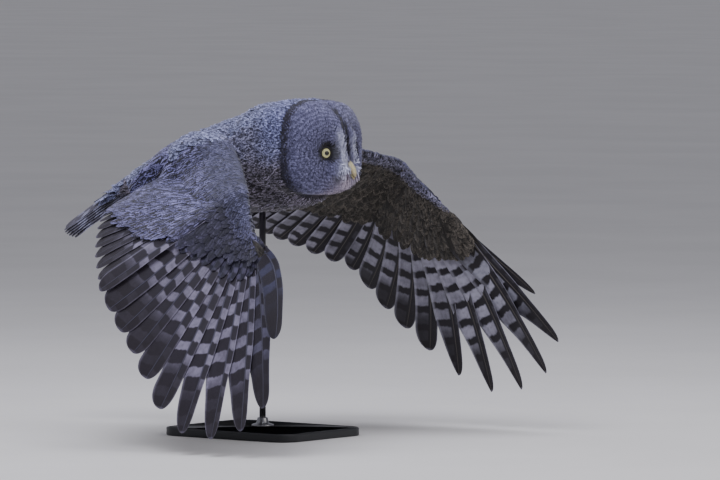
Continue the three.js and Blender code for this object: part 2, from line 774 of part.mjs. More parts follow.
const leftLeg = legSolid().subtract(bodyRoom);
const leftFoot = footSolid().subtract(legSolid().translate([-GAP, 0, 0])).subtract(bodyRoom);
const wings = { left: wing(wingPoses.left, bodyRoom), right: wing(wingPoses.right, bodyRoom) };
for (const name of ['left', 'right']) {
  const placed = name === 'left' ? (solid) => solid : mirrored;
  owl.add(part(`wing_${name}_arm`, placed(wings[name].arm), 'feather'));
  owl.add(part(`wing_${name}_hand`, placed(wings[name].hand), 'feather'));
  owl.add(part(`leg_${name}`, placed(leftLeg), 'plumage'));
  owl.add(part(`foot_${name}`, placed(leftFoot), 'plumage'));
  toes.forEach((toe, i) => {
    owl.add(part(`claw_${name}_${i + 1}`, placed(clawSolid(toe)), 'claw'));
  });
}

const model = new THREE.Group();
model.add(owl);
model.add(part('stand_base', baseSolid(), 'stand'));
model.add(part('stand_collar', collarSolid(), 'stand'));
model.add(part('stand_rod', rodSolid(bodyRoom), 'stand'));

export default model;
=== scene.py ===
# A great grey owl in flight, life size, over a plain display stand: skin, feathers, eyes, bill,
# claws and the stand's finish.
#
# Sizes are in millimetres in the owl's own frame, whose origin is the point midway between its
# shoulders: +X is the way it flies, +Y its left side, +Z up. placed() turns them to metres in
# the model's frame. Every draw of chance comes from a seeded generator.
import json
from math import pi, radians

import bpy
import numpy as np
from mathutils import Matrix, Vector
from mathutils.bvhtree import BVHTree

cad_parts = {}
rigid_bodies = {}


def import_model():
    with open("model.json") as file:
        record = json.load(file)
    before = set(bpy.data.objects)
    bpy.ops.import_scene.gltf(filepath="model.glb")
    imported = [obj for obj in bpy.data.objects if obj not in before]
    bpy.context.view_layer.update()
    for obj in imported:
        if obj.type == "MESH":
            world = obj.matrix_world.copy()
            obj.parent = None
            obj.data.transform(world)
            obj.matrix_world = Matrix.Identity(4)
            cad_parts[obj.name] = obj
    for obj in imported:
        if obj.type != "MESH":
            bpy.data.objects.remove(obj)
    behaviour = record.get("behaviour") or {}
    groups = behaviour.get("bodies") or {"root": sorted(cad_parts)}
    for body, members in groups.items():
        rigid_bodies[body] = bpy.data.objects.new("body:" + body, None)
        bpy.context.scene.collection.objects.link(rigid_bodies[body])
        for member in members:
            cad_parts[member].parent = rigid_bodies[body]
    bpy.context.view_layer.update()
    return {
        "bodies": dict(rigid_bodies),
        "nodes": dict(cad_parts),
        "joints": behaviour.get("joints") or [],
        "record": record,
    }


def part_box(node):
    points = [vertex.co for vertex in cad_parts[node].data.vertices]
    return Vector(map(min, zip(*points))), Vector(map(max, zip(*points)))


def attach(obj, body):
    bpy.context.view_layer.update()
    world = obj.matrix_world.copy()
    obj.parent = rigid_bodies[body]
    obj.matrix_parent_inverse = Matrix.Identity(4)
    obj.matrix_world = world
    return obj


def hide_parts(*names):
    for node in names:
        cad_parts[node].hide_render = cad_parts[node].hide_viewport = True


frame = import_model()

MM = 0.001
EYE_PLACE, EYE_RADIUS = np.array([150.5, 33.5, 8.0]), 10.5
OWL_ORIGIN = np.array(sum(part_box("eye_left"), Vector())) / 2 / MM - EYE_PLACE

# Seeds of the draws of chance.
BODY_SEED, FACE_SEED, TAIL_SEED = 11, 12, 51
FLIGHT_SEEDS = {"left": 31, "right": 32}
COVERT_SEEDS = {"left": {"under": 41, "upper": 42}, "right": {"under": 43, "upper": 44}}


# Vectors and curves


def unit(v):
    return v / np.maximum(np.linalg.norm(v, axis=-1, keepdims=True), 1e-9)


def dot(a, b):
    return (a * b).sum(-1, keepdims=True)


def lerp(a, b, share):
    return a + (b - a) * share


def smooth(x, low, high):
    t = np.clip((x - low) / (high - low), 0, 1)
    return t * t * (3 - 2 * t)


def bell(x, centre, width):
    return np.exp(-(((x - centre) / width) ** 2))


def column(values):
    return np.asarray(values, float)[..., None]


def flat_to(v, normal):
    """The part of v that lies in the plane across normal, at unit length."""
    return unit(v - dot(v, normal) * normal)


def turned(v, axis, angle):
    """v, which stands square to axis, turned about it."""
    return v * column(np.cos(angle)) + np.cross(axis, v) * column(np.sin(angle))


def spline(knots, t):
    """Points at shares t of a smooth curve through the knots (centripetal Catmull-Rom)."""
    knots = np.asarray(knots, float)
    t = np.atleast_1d(t)
    padded = np.vstack([2 * knots[0] - knots[1], knots, 2 * knots[-1] - knots[-2]])
    spans = np.sqrt(np.linalg.norm(np.diff(padded, axis=0), axis=1))
    place = np.clip(t, 0, 1) * (len(knots) - 1)
    i = np.minimum(place.astype(int), len(knots) - 2)
    w = column(place - i)
    p0, p1, p2, p3 = (padded[i + k] for k in range(4))
    d0, d1, d2 = (column(spans[i + k]) for k in range(3))
    leave = ((p1 - p0) / d0 - (p2 - p0) / (d0 + d1) + (p2 - p1) / d1) * d1
    arrive = ((p2 - p1) / d1 - (p3 - p1) / (d1 + d2) + (p3 - p2) / d2) * d1
    cubic = 2 * p1 - 2 * p2 + leave + arrive
    square = 3 * p2 - 3 * p1 - 2 * leave - arrive
    return p1 + leave * w + square * w**2 + cubic * w**3


def lengths_along(points):
    """How far along a line each of its points lies."""
    return np.concatenate([[0], np.cumsum(np.linalg.norm(np.diff(points, axis=0), axis=1))])


def spline_at_length(knots, shares):
    """Points at shares of the curve's length."""
    steps = np.linspace(0, 1, 201)
    lengths = lengths_along(spline(knots, steps))
    return spline(knots, np.interp(np.atleast_1d(shares) * lengths[-1], lengths, steps))


def placed(points):
    return (np.asarray(points) + OWL_ORIGIN) * MM


# Meshes

MIRROR = np.array([1.0, -1.0, 1.0])


def grid_faces(rows, columns, count=1, ring=False):
    """Quads over count grids of points that follow one another in one array."""
    r, c = np.meshgrid(np.arange(rows - 1), np.arange(columns if ring else columns - 1), indexing="ij")
    here, beside = r * columns + c, r * columns + (c + 1) % columns
    one = np.stack([here, beside, beside + columns, here + columns], -1)
    offsets = np.arange(count)[:, None, None] * rows * columns
    return (one.reshape(1, -1, 4) + offsets).reshape(-1, 4)


def new_object(name, points, faces):
    """A smooth mesh object from points in the owl's frame, and faces as an array or as lists."""
    mesh = bpy.data.meshes.new(name)
    if isinstance(faces, np.ndarray):
        mesh.vertices.add(len(points))
        mesh.vertices.foreach_set("co", placed(points).astype(np.float32).ravel())
        mesh.loops.add(faces.size)
        mesh.loops.foreach_set("vertex_index", faces.astype(np.int32).ravel())
        mesh.polygons.add(len(faces))
        mesh.polygons.foreach_set("loop_start", np.arange(0, faces.size, faces.shape[1], dtype=np.int32))
        mesh.update(calc_edges=True)
    else:
        mesh.from_pydata(placed(points).tolist(), [], faces)
    mesh.shade_smooth()
    made = bpy.data.objects.new(name, mesh)
    bpy.context.scene.collection.objects.link(made)
    return made


def closed_rings(rings):
    """Points and faces of a closed skin over rings of equally many points."""
    count, sides = rings.shape[:2]
    faces = grid_faces(count, sides, ring=True).tolist()
    faces.append(list(range(sides)))
    faces.append(list(range(count * sides - 1, (count - 1) * sides - 1, -1)))
    return rings.reshape(-1, 3), faces


def joined(surfaces):
    """Points and faces of several closed skins together."""
    points, faces, start = [], [], 0
    for rings in surfaces:
        ring_points, ring_faces = closed_rings(rings)
        points.append(ring_points)
        faces += [[corner + start for corner in face] for face in ring_faces]
        start += len(ring_points)
    return np.vstack(points), faces


def ring_object(name, rings):
    return new_object(name, *closed_rings(rings))


def give(made, **values):
    """Stores a number, a vector or a colour for each point of the object's mesh."""
    kinds = {1: ("FLOAT", "value"), 3: ("FLOAT_VECTOR", "vector"), 4: ("FLOAT_COLOR", "color")}
    for name, array in values.items():
        array = np.asarray(array, np.float32)
        width = 1 if array.ndim == 1 else array.shape[-1]
        kind, field = kinds[width]
        attribute = made.data.attributes.new(name, kind, "POINT")
        attribute.data.foreach_set(field, array.ravel())


def give_uv(made, uv):
    """The OFBake map, from one place for each point of the mesh."""
    layer = made.data.uv_layers.new(name="OFBake")
    corners = np.empty(len(made.data.loops), np.int32)
    made.data.loops.foreach_get("vertex_index", corners)
    layer.data.foreach_set("uv", np.asarray(uv, np.float32)[corners].ravel())


def finished(made, material, slot, *nodes):
    """Gives the object its material and its place in the model."""
    made.data.materials.clear()
    made.data.materials.append(material)
    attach(made, "root")
    if nodes:
        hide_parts(*nodes)
    return made


def apply_modifiers(made):
    """Turns the object's modifiers into its mesh."""
    graph = bpy.context.evaluated_depsgraph_get()
    mesh = bpy.data.meshes.new_from_object(made.evaluated_get(graph))
    made.modifiers.clear()
    made.data = mesh


def mesh_points(made):
    """The points of a mesh in the owl's frame."""
    co = np.empty(len(made.data.vertices) * 3, np.float32)
    made.data.vertices.foreach_get("co", co)
    return co.reshape(-1, 3).astype(float) / MM - OWL_ORIGIN


# Camera

CAMERA_AZIMUTH = radians(38)
CAMERA_HEIGHT = radians(3)
CAMERA_DISTANCE = 11000
MM_PER_PIXEL = 1.7
PICTURE_WIDTH = 720
VIEW_CENTRE = (158.1, -144.5)  # middle of the picture, to the right of and above the shoulders
SENSOR = 36
SIGHT = 200  # how far the camera sees, in metres

# Level ways to the right of the picture and toward the camera.
RIGHTWARD = np.array([np.cos(CAMERA_AZIMUTH), np.sin(CAMERA_AZIMUTH), 0])
NEARWARD = np.array([np.sin(CAMERA_AZIMUTH), -np.cos(CAMERA_AZIMUTH), 0])


def make_camera():
    back = NEARWARD * np.cos(CAMERA_HEIGHT) + np.array([0, 0, np.sin(CAMERA_HEIGHT)])
    up = np.cross(back, RIGHTWARD)
    place = RIGHTWARD * VIEW_CENTRE[0] + up * VIEW_CENTRE[1] + back * CAMERA_DISTANCE
    data = bpy.data.cameras.new("camera")
    data.sensor_width = SENSOR
    data.lens = SENSOR * CAMERA_DISTANCE / (PICTURE_WIDTH * MM_PER_PIXEL)
    data.clip_end = SIGHT
    camera = bpy.data.objects.new("camera", data)
    turn = Matrix([list(row) for row in np.stack([RIGHTWARD, up, back], 1)]).to_4x4()
    camera.matrix_world = Matrix.Translation(Vector(placed(place))) @ turn
    bpy.context.scene.collection.objects.link(camera)
    bpy.context.scene.camera = camera


make_camera()


# Body and head, as surfaces

# Place along X, height of the back and of the belly, half the width.
BODY_STATIONS = [
    (-330, -60, -84, 20),
    (-296, -38, -80, 32),
    (-231, -2, -76, 48),
    (-177, 28, -82, 61),
    (-112, 49, -92, 73),
    (-58, 67, -98, 80),
    (6, 86, -98, 84),
    (71, 94, -93, 84),
    (106, 90, -82, 76),
    (126, 72, -60, 58),
]
HEAD_CENTRE, HEAD_UP, HEAD_DOWN, HEAD_HALF = 12, 84, 77, 91
FACE_FRONT, FACE_DOME = 166, 41
HEAD_SQUARE = 3.1  # two would give an ellipse
BILL_ROOT = np.array([160.0, 0.0, -6.0])

BODY_COAT = 9  # how far the skin lies under the outside of the coat
HEAD_COAT = 6
FACE_COAT = 3.5
WING_COAT = 3
LEG_COAT = 4
TOE_COAT = 1.4

BODY_STEPS, BODY_SIDES = 70, 72
FACE_STEPS, NAPE_STEPS, HEAD_SIDES = 26, 30, 96
# Place along X and size of the head behind the rim of the face.
NAPE = [(118, 1.02), (112, 1.03), (96, 1.035), (70, 1.015), (40, 0.97), (8, 0.88), (-20, 0.72)]


def body_rings():
    """The skin of the body, a coat's depth inside its outline but never past its middle."""
    stations = spline(BODY_STATIONS, np.linspace(0, 1, BODY_STEPS))
    angle = np.linspace(0, 2 * pi, BODY_SIDES, endpoint=False)
    x, back, belly, half = (stations[:, k, None] for k in range(4))
    depth = np.minimum(BODY_COAT, half * 0.4)
    y = (half - depth) * np.sin(angle)
    high = (back - belly) / 2 - np.minimum(depth, (back - belly) * 0.3)
    z = (back + belly) / 2 + high * np.cos(angle)
    return np.stack([x + 0 * y, y, z], -1)


def rim_share(y, z):
    """Nothing at the middle of the face, one at the rim of the facial discs."""
    up = z - HEAD_CENTRE
    high = np.where(up > 0, HEAD_UP, HEAD_DOWN)
    square = np.abs(y / HEAD_HALF) ** HEAD_SQUARE + np.abs(up / high) ** HEAD_SQUARE
    return square ** (1 / HEAD_SQUARE)


def face_front(y, z):
    """How far forward the face reaches at a place across it."""
    dome = FACE_FRONT - FACE_DOME * np.minimum(1, rim_share(y, z)) ** 3.2
    from_eye = np.hypot(np.abs(y) - EYE_PLACE[1], z - EYE_PLACE[2])
    bowl = -7 * bell(from_eye, 0, 21)
    ring = 2.2 * bell(from_eye, 46, 15)
    muzzle = (5 + 12 * bell(z, -14, 24)) * bell(y, 0, 20) * (1 - smooth(z, 55, 85))
    crescent = 9 * bell(np.abs(y), 14, 7) * smooth(z, -45, -30) * (1 - smooth(z, 35, 55))
    bristles = 7 * bell(np.abs(y), 18, 8) * bell(z, -24, 14)
    chin = 24 * bell(y, 0, 24) * bell(z, -46, 15)
    return dome + bowl + ring + muzzle + crescent + bristles + chin


def head_outline(angle, size, depth):
    """Points across the head at angles from its top, some depth inside an outline of a size."""
    high = np.where(np.cos(angle) > 0, HEAD_UP, HEAD_DOWN)
    square = np.abs(np.cos(angle)) ** HEAD_SQUARE + np.abs(np.sin(angle)) ** HEAD_SQUARE
    reach = size * square ** (-1 / HEAD_SQUARE)
    y = (reach * HEAD_HALF - depth) * np.sin(angle)
    z = HEAD_CENTRE + (reach * high - depth) * np.cos(angle)
    return y, z


def head_rings():
    """The skin of the head: the face from its middle to the rim, then the nape."""
    angle = np.linspace(0, 2 * pi, HEAD_SIDES, endpoint=False)
    rings = []
    for share in np.linspace(0.04, 1, FACE_STEPS):
        y, z = head_outline(angle, share, HEAD_COAT * share)
        rings.append(np.stack([face_front(y, z) - FACE_COAT, y, z], -1))
    for x, size in spline(NAPE, np.linspace(0, 1, NAPE_STEPS)):
        y, z = head_outline(angle, size, HEAD_COAT)
        rings.append(np.stack([x + 0 * y, y, z], -1))
    return np.array(rings)


def limb_rings(knots, radius_at, sides=20, steps=24):
    """Round rings about a curve through the knots."""
    t = np.linspace(0, 1, steps + 1)
    centre = spline(knots, t)
    ahead = unit(np.gradient(centre, axis=0))
    across = flat_to(np.array([0.0, 1.0, 0.0]) + 0 * ahead, ahead)
    up = np.cross(ahead, across)
    angle = np.linspace(0, 2 * pi, sides, endpoint=False)
    out = across[:, None] * column(np.cos(angle)) + up[:, None] * column(np.sin(angle))
    return centre[:, None] + out * np.reshape(radius_at(t), (-1, 1, 1))


HIP, HEEL, ANKLE = (-66, 36, -70), (-138, 34, -84), (-196, 32, -90)
PALM = [(-188, 32, -91), (-203, 32, -91), (-218, 32, -91)]
THIGH, SHANK, PALM_RADIUS = 27, 15, 11
# Root, end and radius of each toe.
TOES = [
    ((-210, 22, -92), (-243, 15, -97), 6.6),
    ((-212, 31, -93), (-251, 30, -98), 7.0),
    ((-210, 40, -92), (-241, 47, -97), 6.6),
    ((-196, 33, -98), (-213, 35, -116), 6.2),
]
TOE_TAPER = 0.22


def toe_knots(start, end):
    start, end = np.array(start, float), np.array(end, float)
    return [start, (start + end) / 2 + (0, 0, 4), end]


def leg_surfaces():
    """Thigh and shank, the palm of the foot and the toes of the left leg."""

    def leg_radius(t):
        return lerp(THIGH, SHANK, smooth(t, 0.1, 0.75)) - LEG_COAT

    def palm_radius(t):
        return PALM_RADIUS * np.sqrt(np.maximum(0.02, 1 - (2 * t - 1) ** 2))

    surfaces = [limb_rings([HIP, HEEL, ANKLE], leg_radius), limb_rings(PALM, palm_radius)]
    for start, end, radius in TOES:
        skin_radius = radius - TOE_COAT
        surfaces.append(limb_rings(toe_knots(start, end), lambda t: skin_radius * (1 - TOE_TAPER * t)))
    return surfaces


# Wings

HAND_LENGTH = 95
EDGE_WAY = np.array([0.86, 0.1, 0.5])  # from the bones of the hand to the leading edge
PRIMARY_LENGTHS = [292, 298, 307, 326, 357, 381, 381, 366, 328, 234]
SECONDARIES, TERTIALS = 12, 3
ARM_FEATHERS = SECONDARIES + TERTIALS
# Widths of the vanes ahead of the shaft and behind it.
ARM_LEAD, SECONDARY_TRAIL, TERTIAL_TRAIL = 14, 25, 20
PRIMARY_LEAD, PRIMARY_TRAIL = 16, 33
ARM_END = 0.12  # the rounded end, as a share of the feather's length
END_POWER, END_FALL = 2.4, 0.5
QUILL_STACK = 4.4
SHINGLE_STEP = 2.2
ARM_BOW, ARM_ARCH = 5, 10
HAND_BOW, HAND_ARCH = 9, 9

WING_POSES = {
    "left": {
        "wrist": (120, 208, -19), "edge_start": (34, 74, 16), "edge_bulge": 11, "hand": (37.5, 25.7),
        "swing": -35, "step": 8.58, "growth": 0.11, "lift": 22.7, "lift_step": -0.97,
        "ninth": {"swing": 0, "lift": 0, "roll": 0, "bow": -4, "before": 12, "after": 40},
        "tenth": {"swing": -2.9, "lift": 0, "roll": 0, "bow": -10, "before": 6, "after": 24},
        "fingers": {"from": 2.5, "twist": 20, "before": 12, "after": 40, "notch": 0.4,
                    "point": 2.3, "power": 1.3, "fall": 0.9},
        "outer_quill_shift": 5, "wrist_depth": 8,
        "arm_roots": [(66, 184, -38), (4, 142, -44), (-40, 100, -30), (-52, 64, -8)],
        "arm_tips": [(-66, 318, -211), (-158, 248, -163), (-206, 186, -129), (-231, 126, -97),
                     (-226, 76, -68)],
    },
    "right": {
        "wrist": (119, 211, -58), "edge_start": (-5, 76, 11), "edge_bulge": 2, "hand": (35.7, 25),
        "swing": -42, "step": 7.45, "growth": 0.15, "lift": 30.8, "lift_step": -1,
        "ninth": {"swing": -2, "lift": 0, "roll": 14, "bow": 13, "before": 19, "after": 36},
        "tenth": {"swing": 5.5, "lift": 6.5, "roll": 36, "bow": 24, "before": 11, "after": 29},
        "fingers": {"from": 3.5, "twist": 0, "before": 13, "after": 38, "notch": 1,
                    "point": 1.7, "power": 1.7, "fall": 0.5},
        "outer_quill_shift": 11, "wrist_depth": 15,
        "arm_roots": [(64, 187, -66), (4, 144, -58), (-40, 100, -36), (-52, 64, -10)],
        "arm_tips": [(-71, 357, -216), (-143, 284, -156), (-191, 214, -109), (-224, 138, -93),
                     (-228, 78, -74)],
    },
}


def direction(swing, lift):
    swing, lift = np.radians(swing), np.radians(lift)
    return np.array([np.cos(lift) * np.sin(swing), np.sin(lift), -np.cos(lift) * np.cos(swing)])


def flight_row(pose):
    """Every flight feather of one wing in order from the body to the wing tip."""
    wrist = np.array(pose["wrist"], float)
    row = []
    root_knots = [pose["wrist"], *pose["arm_roots"]]
    for i in range(ARM_FEATHERS - 1, -1, -1):
        share = i / (ARM_FEATHERS - 1)
        row.append({
            "root": spline_at_length(root_knots, lerp(0.02, 1, share))[0],
            "tip": spline(pose["arm_tips"], share)[0],
            "before": ARM_LEAD, "after": TERTIAL_TRAIL if i >= SECONDARIES else SECONDARY_TRAIL,
            "notch": 0, "rounding": ARM_END, "point": (ARM_END, END_POWER, END_FALL),
            "roll": 0, "twist": 0, "bow": ARM_BOW, "arch": ARM_ARCH,
        })
    hand_way = direction(*pose["hand"])
    hand_up = unit(np.cross(EDGE_WAY, hand_way))
    turns = {8: pose["ninth"], 9: pose["tenth"]}
    fingers = pose["fingers"]
    for i, length in enumerate(PRIMARY_LENGTHS):
        finger = float(smooth(i, fingers["from"], fingers["from"] + 2))
        vanes = {"before": lerp(PRIMARY_LEAD, fingers["before"], finger),
                 "after": lerp(PRIMARY_TRAIL, fingers["after"], finger)}
        turn = turns.get(i, {"swing": 0, "lift": 0, "roll": 0, "bow": HAND_BOW, **vanes})
        swing = pose["swing"] + pose["step"] * i + pose["growth"] * i * i + turn["swing"]
        way = direction(swing, pose["lift"] + pose["lift_step"] * i + turn["lift"])
        outward = i / (len(PRIMARY_LENGTHS) - 1)
        on_bone = wrist + hand_way * HAND_LENGTH * lerp(0.04, 1, outward)
        shift = EDGE_WAY * pose["outer_quill_shift"] * outward**4 - hand_up * QUILL_STACK * outward**3
        rounding = lerp(0.1, 0.15, finger)
        row.append({
            "root": on_bone + shift,
            "tip": on_bone + way * length,
            "before": turn["before"], "after": turn["after"],
            "notch": fingers["notch"] * (0.35 if turn is pose["tenth"] else finger),
            "rounding": rounding * lerp(1, 0.6, finger),
            "point": (rounding * lerp(1, fingers["point"], finger),
                      lerp(END_POWER, fingers["power"], finger),
                      lerp(END_FALL, fingers["fall"], finger)),
            "roll": radians(turn["roll"]), "twist": radians(fingers["twist"] * smooth(i, 3, 7)),
            "bow": turn["bow"], "arch": HAND_ARCH,
        })
    for i, feather in enumerate(row):
        feather["index"] = i
        feather["way"] = unit(feather["tip"] - feather["root"])
        feather["length"] = float(np.linalg.norm(feather["tip"] - feather["root"]))
        feather["inner"] = row[max(0, i - 1)]
        feather["outer"] = row[min(len(row) - 1, i + 1)]
    return row, hand_way


def shaft_frame(feather, t, rise=0):
    """Place of the shaft, side of the leading edge, upper side and tilt at shares t."""
    t = np.atleast_1d(np.asarray(t, float))

    def straight(f):
        return f["root"] + (f["tip"] - f["root"]) * column(t)

    way = feather["way"]
    side = straight(feather["outer"]) - straight(feather["inner"])
    gaps = 1 if feather["inner"] is feather or feather["outer"] is feather else 2
    side = side - dot(side, way) * way
    spacing = np.linalg.norm(side, axis=-1) / gaps
    roll = feather["roll"] * smooth(t, 0.1, 0.4) + feather["twist"] * smooth(t, 0.35, 0.85)
    side = turned(unit(side), way, roll)
    up = np.cross(side, way)
    bend = 4 * t * (1 - t)
    centre = straight(feather) + side * column(feather["bow"] * bend)
    centre = centre + up * column(feather["arch"] * bend + rise)
    return centre, side, up, np.minimum(0.25, SHINGLE_STEP / spacing)


def from_quill(t):
    """Narrow at the quill, full width from about a third of the feather on."""
    return lerp(0.12, 1, smooth(t, 0, 0.3))


def feather_end(t, length, power=END_POWER, fall=END_FALL):
    """One as far as the rounded end, and nearly nothing at the tip."""
    return np.maximum(0.0004, 1 - np.maximum(0, (t - 1 + length) / length) ** power) ** fall


def flight_widths(feather, t):
    """Widths of the vanes before and behind the shaft, narrower past the notch of a finger."""
    notch = feather["notch"]
    before = from_quill(t) * (1 - notch * 0.28 * smooth(t, 0.58, 0.8))
    after = from_quill(t) * (1 - notch * 0.2 * smooth(t, 0.66, 0.84))
    before_end, after_end = feather_end(t, feather["rounding"]), feather_end(t, *feather["point"])
    return feather["before"] * before * before_end, feather["after"] * after * after_end


# Sections of a wing's core from the body outwards: the flight feather there, how far past its
# root the core ends, and how thick the core is.
SECTION_INDEX = [-3, -1, 2, 5, 10, 14, 18, 22, 24]
SECTION_REACH = [66, 66, 62, 52, 42, 40, 38, 36, 30]
SECTION_THICKNESS = [40.0, 38, 32, 25, 21, 19, 17, 14, 8]
INNER_TRAIL = [(-152, 40, 24), (-150, 77, 0)]  # where the first two end, inside the body
INTO_BODY = np.array([-0.3, -1, 0]) * 34
BULGE_WAY = np.array([0.72, -0.3, 0.62])
CORE_STEPS, CORE_SIDES = 60, 40


def wing_table(pose, row, hand_way):
    """Sections as rows of numbers: leading point, trailing point, thickness, upper side."""
    wrist, start = np.array(pose["wrist"], float), np.array(pose["edge_start"], float)
    edge_end = wrist + EDGE_WAY * pose["wrist_depth"]

    def edge_at(share):
        return lerp(start, edge_end, share) + BULGE_WAY * pose["edge_bulge"] * np.sin(pi * share)

    def hand_edge(share):
        return wrist + hand_way * HAND_LENGTH * share + EDGE_WAY * lerp(pose["wrist_depth"], 5, share)

    def core_end(index, reach):
        return shaft_frame(row[index], reach / row[index]["length"])[0][0]

    lead = np.array([
        start + INTO_BODY, edge_at(0), edge_at(0.25), edge_at(0.5), edge_at(0.78), edge_end,
        hand_edge(0.35), hand_edge(0.75), hand_edge(1.06),
    ])
    trail = np.array(INNER_TRAIL + [core_end(*at) for at in zip(SECTION_INDEX[2:], SECTION_REACH[2:])])
    middle = (lead + trail) / 2
    span = np.empty_like(middle)
    span[1:-1] = middle[2:] - middle[:-2]
    span[0] = middle[1] - middle[0]
    span[-1] = middle[-1] - middle[-2]
    up = unit(np.cross(span, trail - lead))
    return np.column_stack([lead, trail, SECTION_THICKNESS, up])


def section_parts(table, shares):
    """Leading point, trailing point, thickness and upper side at shares of the core's span."""
    fine = spline(table, shares)
    return fine[:, :3], fine[:, 3:6], fine[:, 6], unit(fine[:, 7:10])


def foil_height(chord, thickness, face):
    """Height of the core's upper (face 1) or lower (face -1) side above its chord line."""
    fullness = np.sqrt(np.maximum(0, 1 - (2 * chord - 1) ** 4)) * (1 - 0.68 * chord) * thickness / 2
    return face * fullness + thickness * 0.3 * np.sin(pi * np.clip(chord, 0, 1))


def wing_core_rings(table):
    """The skin of a wing's core, a coat's depth inside it."""
    lead, trail, thickness, up = section_parts(table, np.linspace(0, 1, CORE_STEPS))
    chord_way = unit(trail - lead)
    lead, trail = lead + chord_way * WING_COAT, trail - chord_way * WING_COAT
    angle = 2 * pi * (np.arange(CORE_SIDES) + 0.5) / CORE_SIDES
    chord = (1 - np.cos(angle)) / 2
    slim = (thickness - 2 * WING_COAT)[:, None]
    height = foil_height(chord[None], slim, np.sign(np.sin(angle))[None])
    return lead[:, None] + (trail - lead)[:, None] * column(chord) + up[:, None] * column(height)


WINGS = {}
for wing_name, wing_pose in WING_POSES.items():
    wing_row, wing_hand_way = flight_row(wing_pose)
    WINGS[wing_name] = {
        "row": wing_row,
        "table": wing_table(wing_pose, wing_row, wing_hand_way),
        "mirror": np.ones(3) if wing_name == "left" else MIRROR,
    }


# Materials


def rgb(red, green, blue):
    """A colour given in the usual 0 to 255 steps, as the linear values that shaders take."""
    c = np.array([red, green, blue]) / 255
    return np.where(c <= 0.04045, c / 12.92, ((c + 0.055) / 1.055) ** 2.4)


class Signal:
    """A number, vector or colour inside a material. Arithmetic on it adds the nodes it needs."""

    def __init__(self, tree, socket):
        self.tree = tree
        self.socket = socket

    def math(self, operation, *others):
        node = self.tree.nodes.new("ShaderNodeMath")
        node.operation = operation
        for place, value in zip(node.inputs, (self, *others)):
            feed(self.tree, place, value)
        return Signal(self.tree, node.outputs[0])

    def __add__(self, other):
        return self.math("ADD", other)

    def __sub__(self, other):
        return self.math("SUBTRACT", other)

    def __mul__(self, other):
        return self.math("MULTIPLY", other)

    def __truediv__(self, other):
        return self.math("DIVIDE", other)

    def __abs__(self):
        return self.math("ABSOLUTE")

    def flip(self):
        return (self * -1) + 1

    def wave(self):
        """The sine of a phase counted in full turns."""
        return (self * (2 * pi)).math("SINE")

    def part(self):
        """The part after the point."""
        return self.math("FRACT")

    def least(self, other):
        return self.math("MINIMUM", other)

    def most(self, other):
        return self.math("MAXIMUM", other)

    def step(self, low, high):
        """Nothing below low, one above high, and a smooth change between."""
        node = self.tree.nodes.new("ShaderNodeMapRange")
        node.interpolation_type = "SMOOTHSTEP"
        feed(self.tree, node.inputs["Value"], self)
        feed(self.tree, node.inputs["From Min"], low)
        feed(self.tree, node.inputs["From Max"], high)
        return Signal(self.tree, node.outputs["Result"])

    def axis(self, name):
        node = self.tree.nodes.new("ShaderNodeSeparateXYZ")
        feed(self.tree, node.inputs[0], self)
        return Signal(self.tree, node.outputs[name])


def feed(tree, socket, value):
    if isinstance(value, Signal):
        tree.links.new(value.socket, socket)
    elif isinstance(value, (int, float)):
        socket.default_value = float(value)
    else:
        value = [float(v) for v in value]
        socket.default_value = value + [1.0] if socket.type == "RGBA" else value


SHADER_SOCKETS = {
    "roughness": "Roughness", "metallic": "Metallic", "specular": "Specular IOR Level",
    "sheen": "Sheen Weight", "sheen_roughness": "Sheen Roughness",
    "coat": "Coat Weight", "coat_roughness": "Coat Roughness", "subsurface": "Subsurface Weight",
}


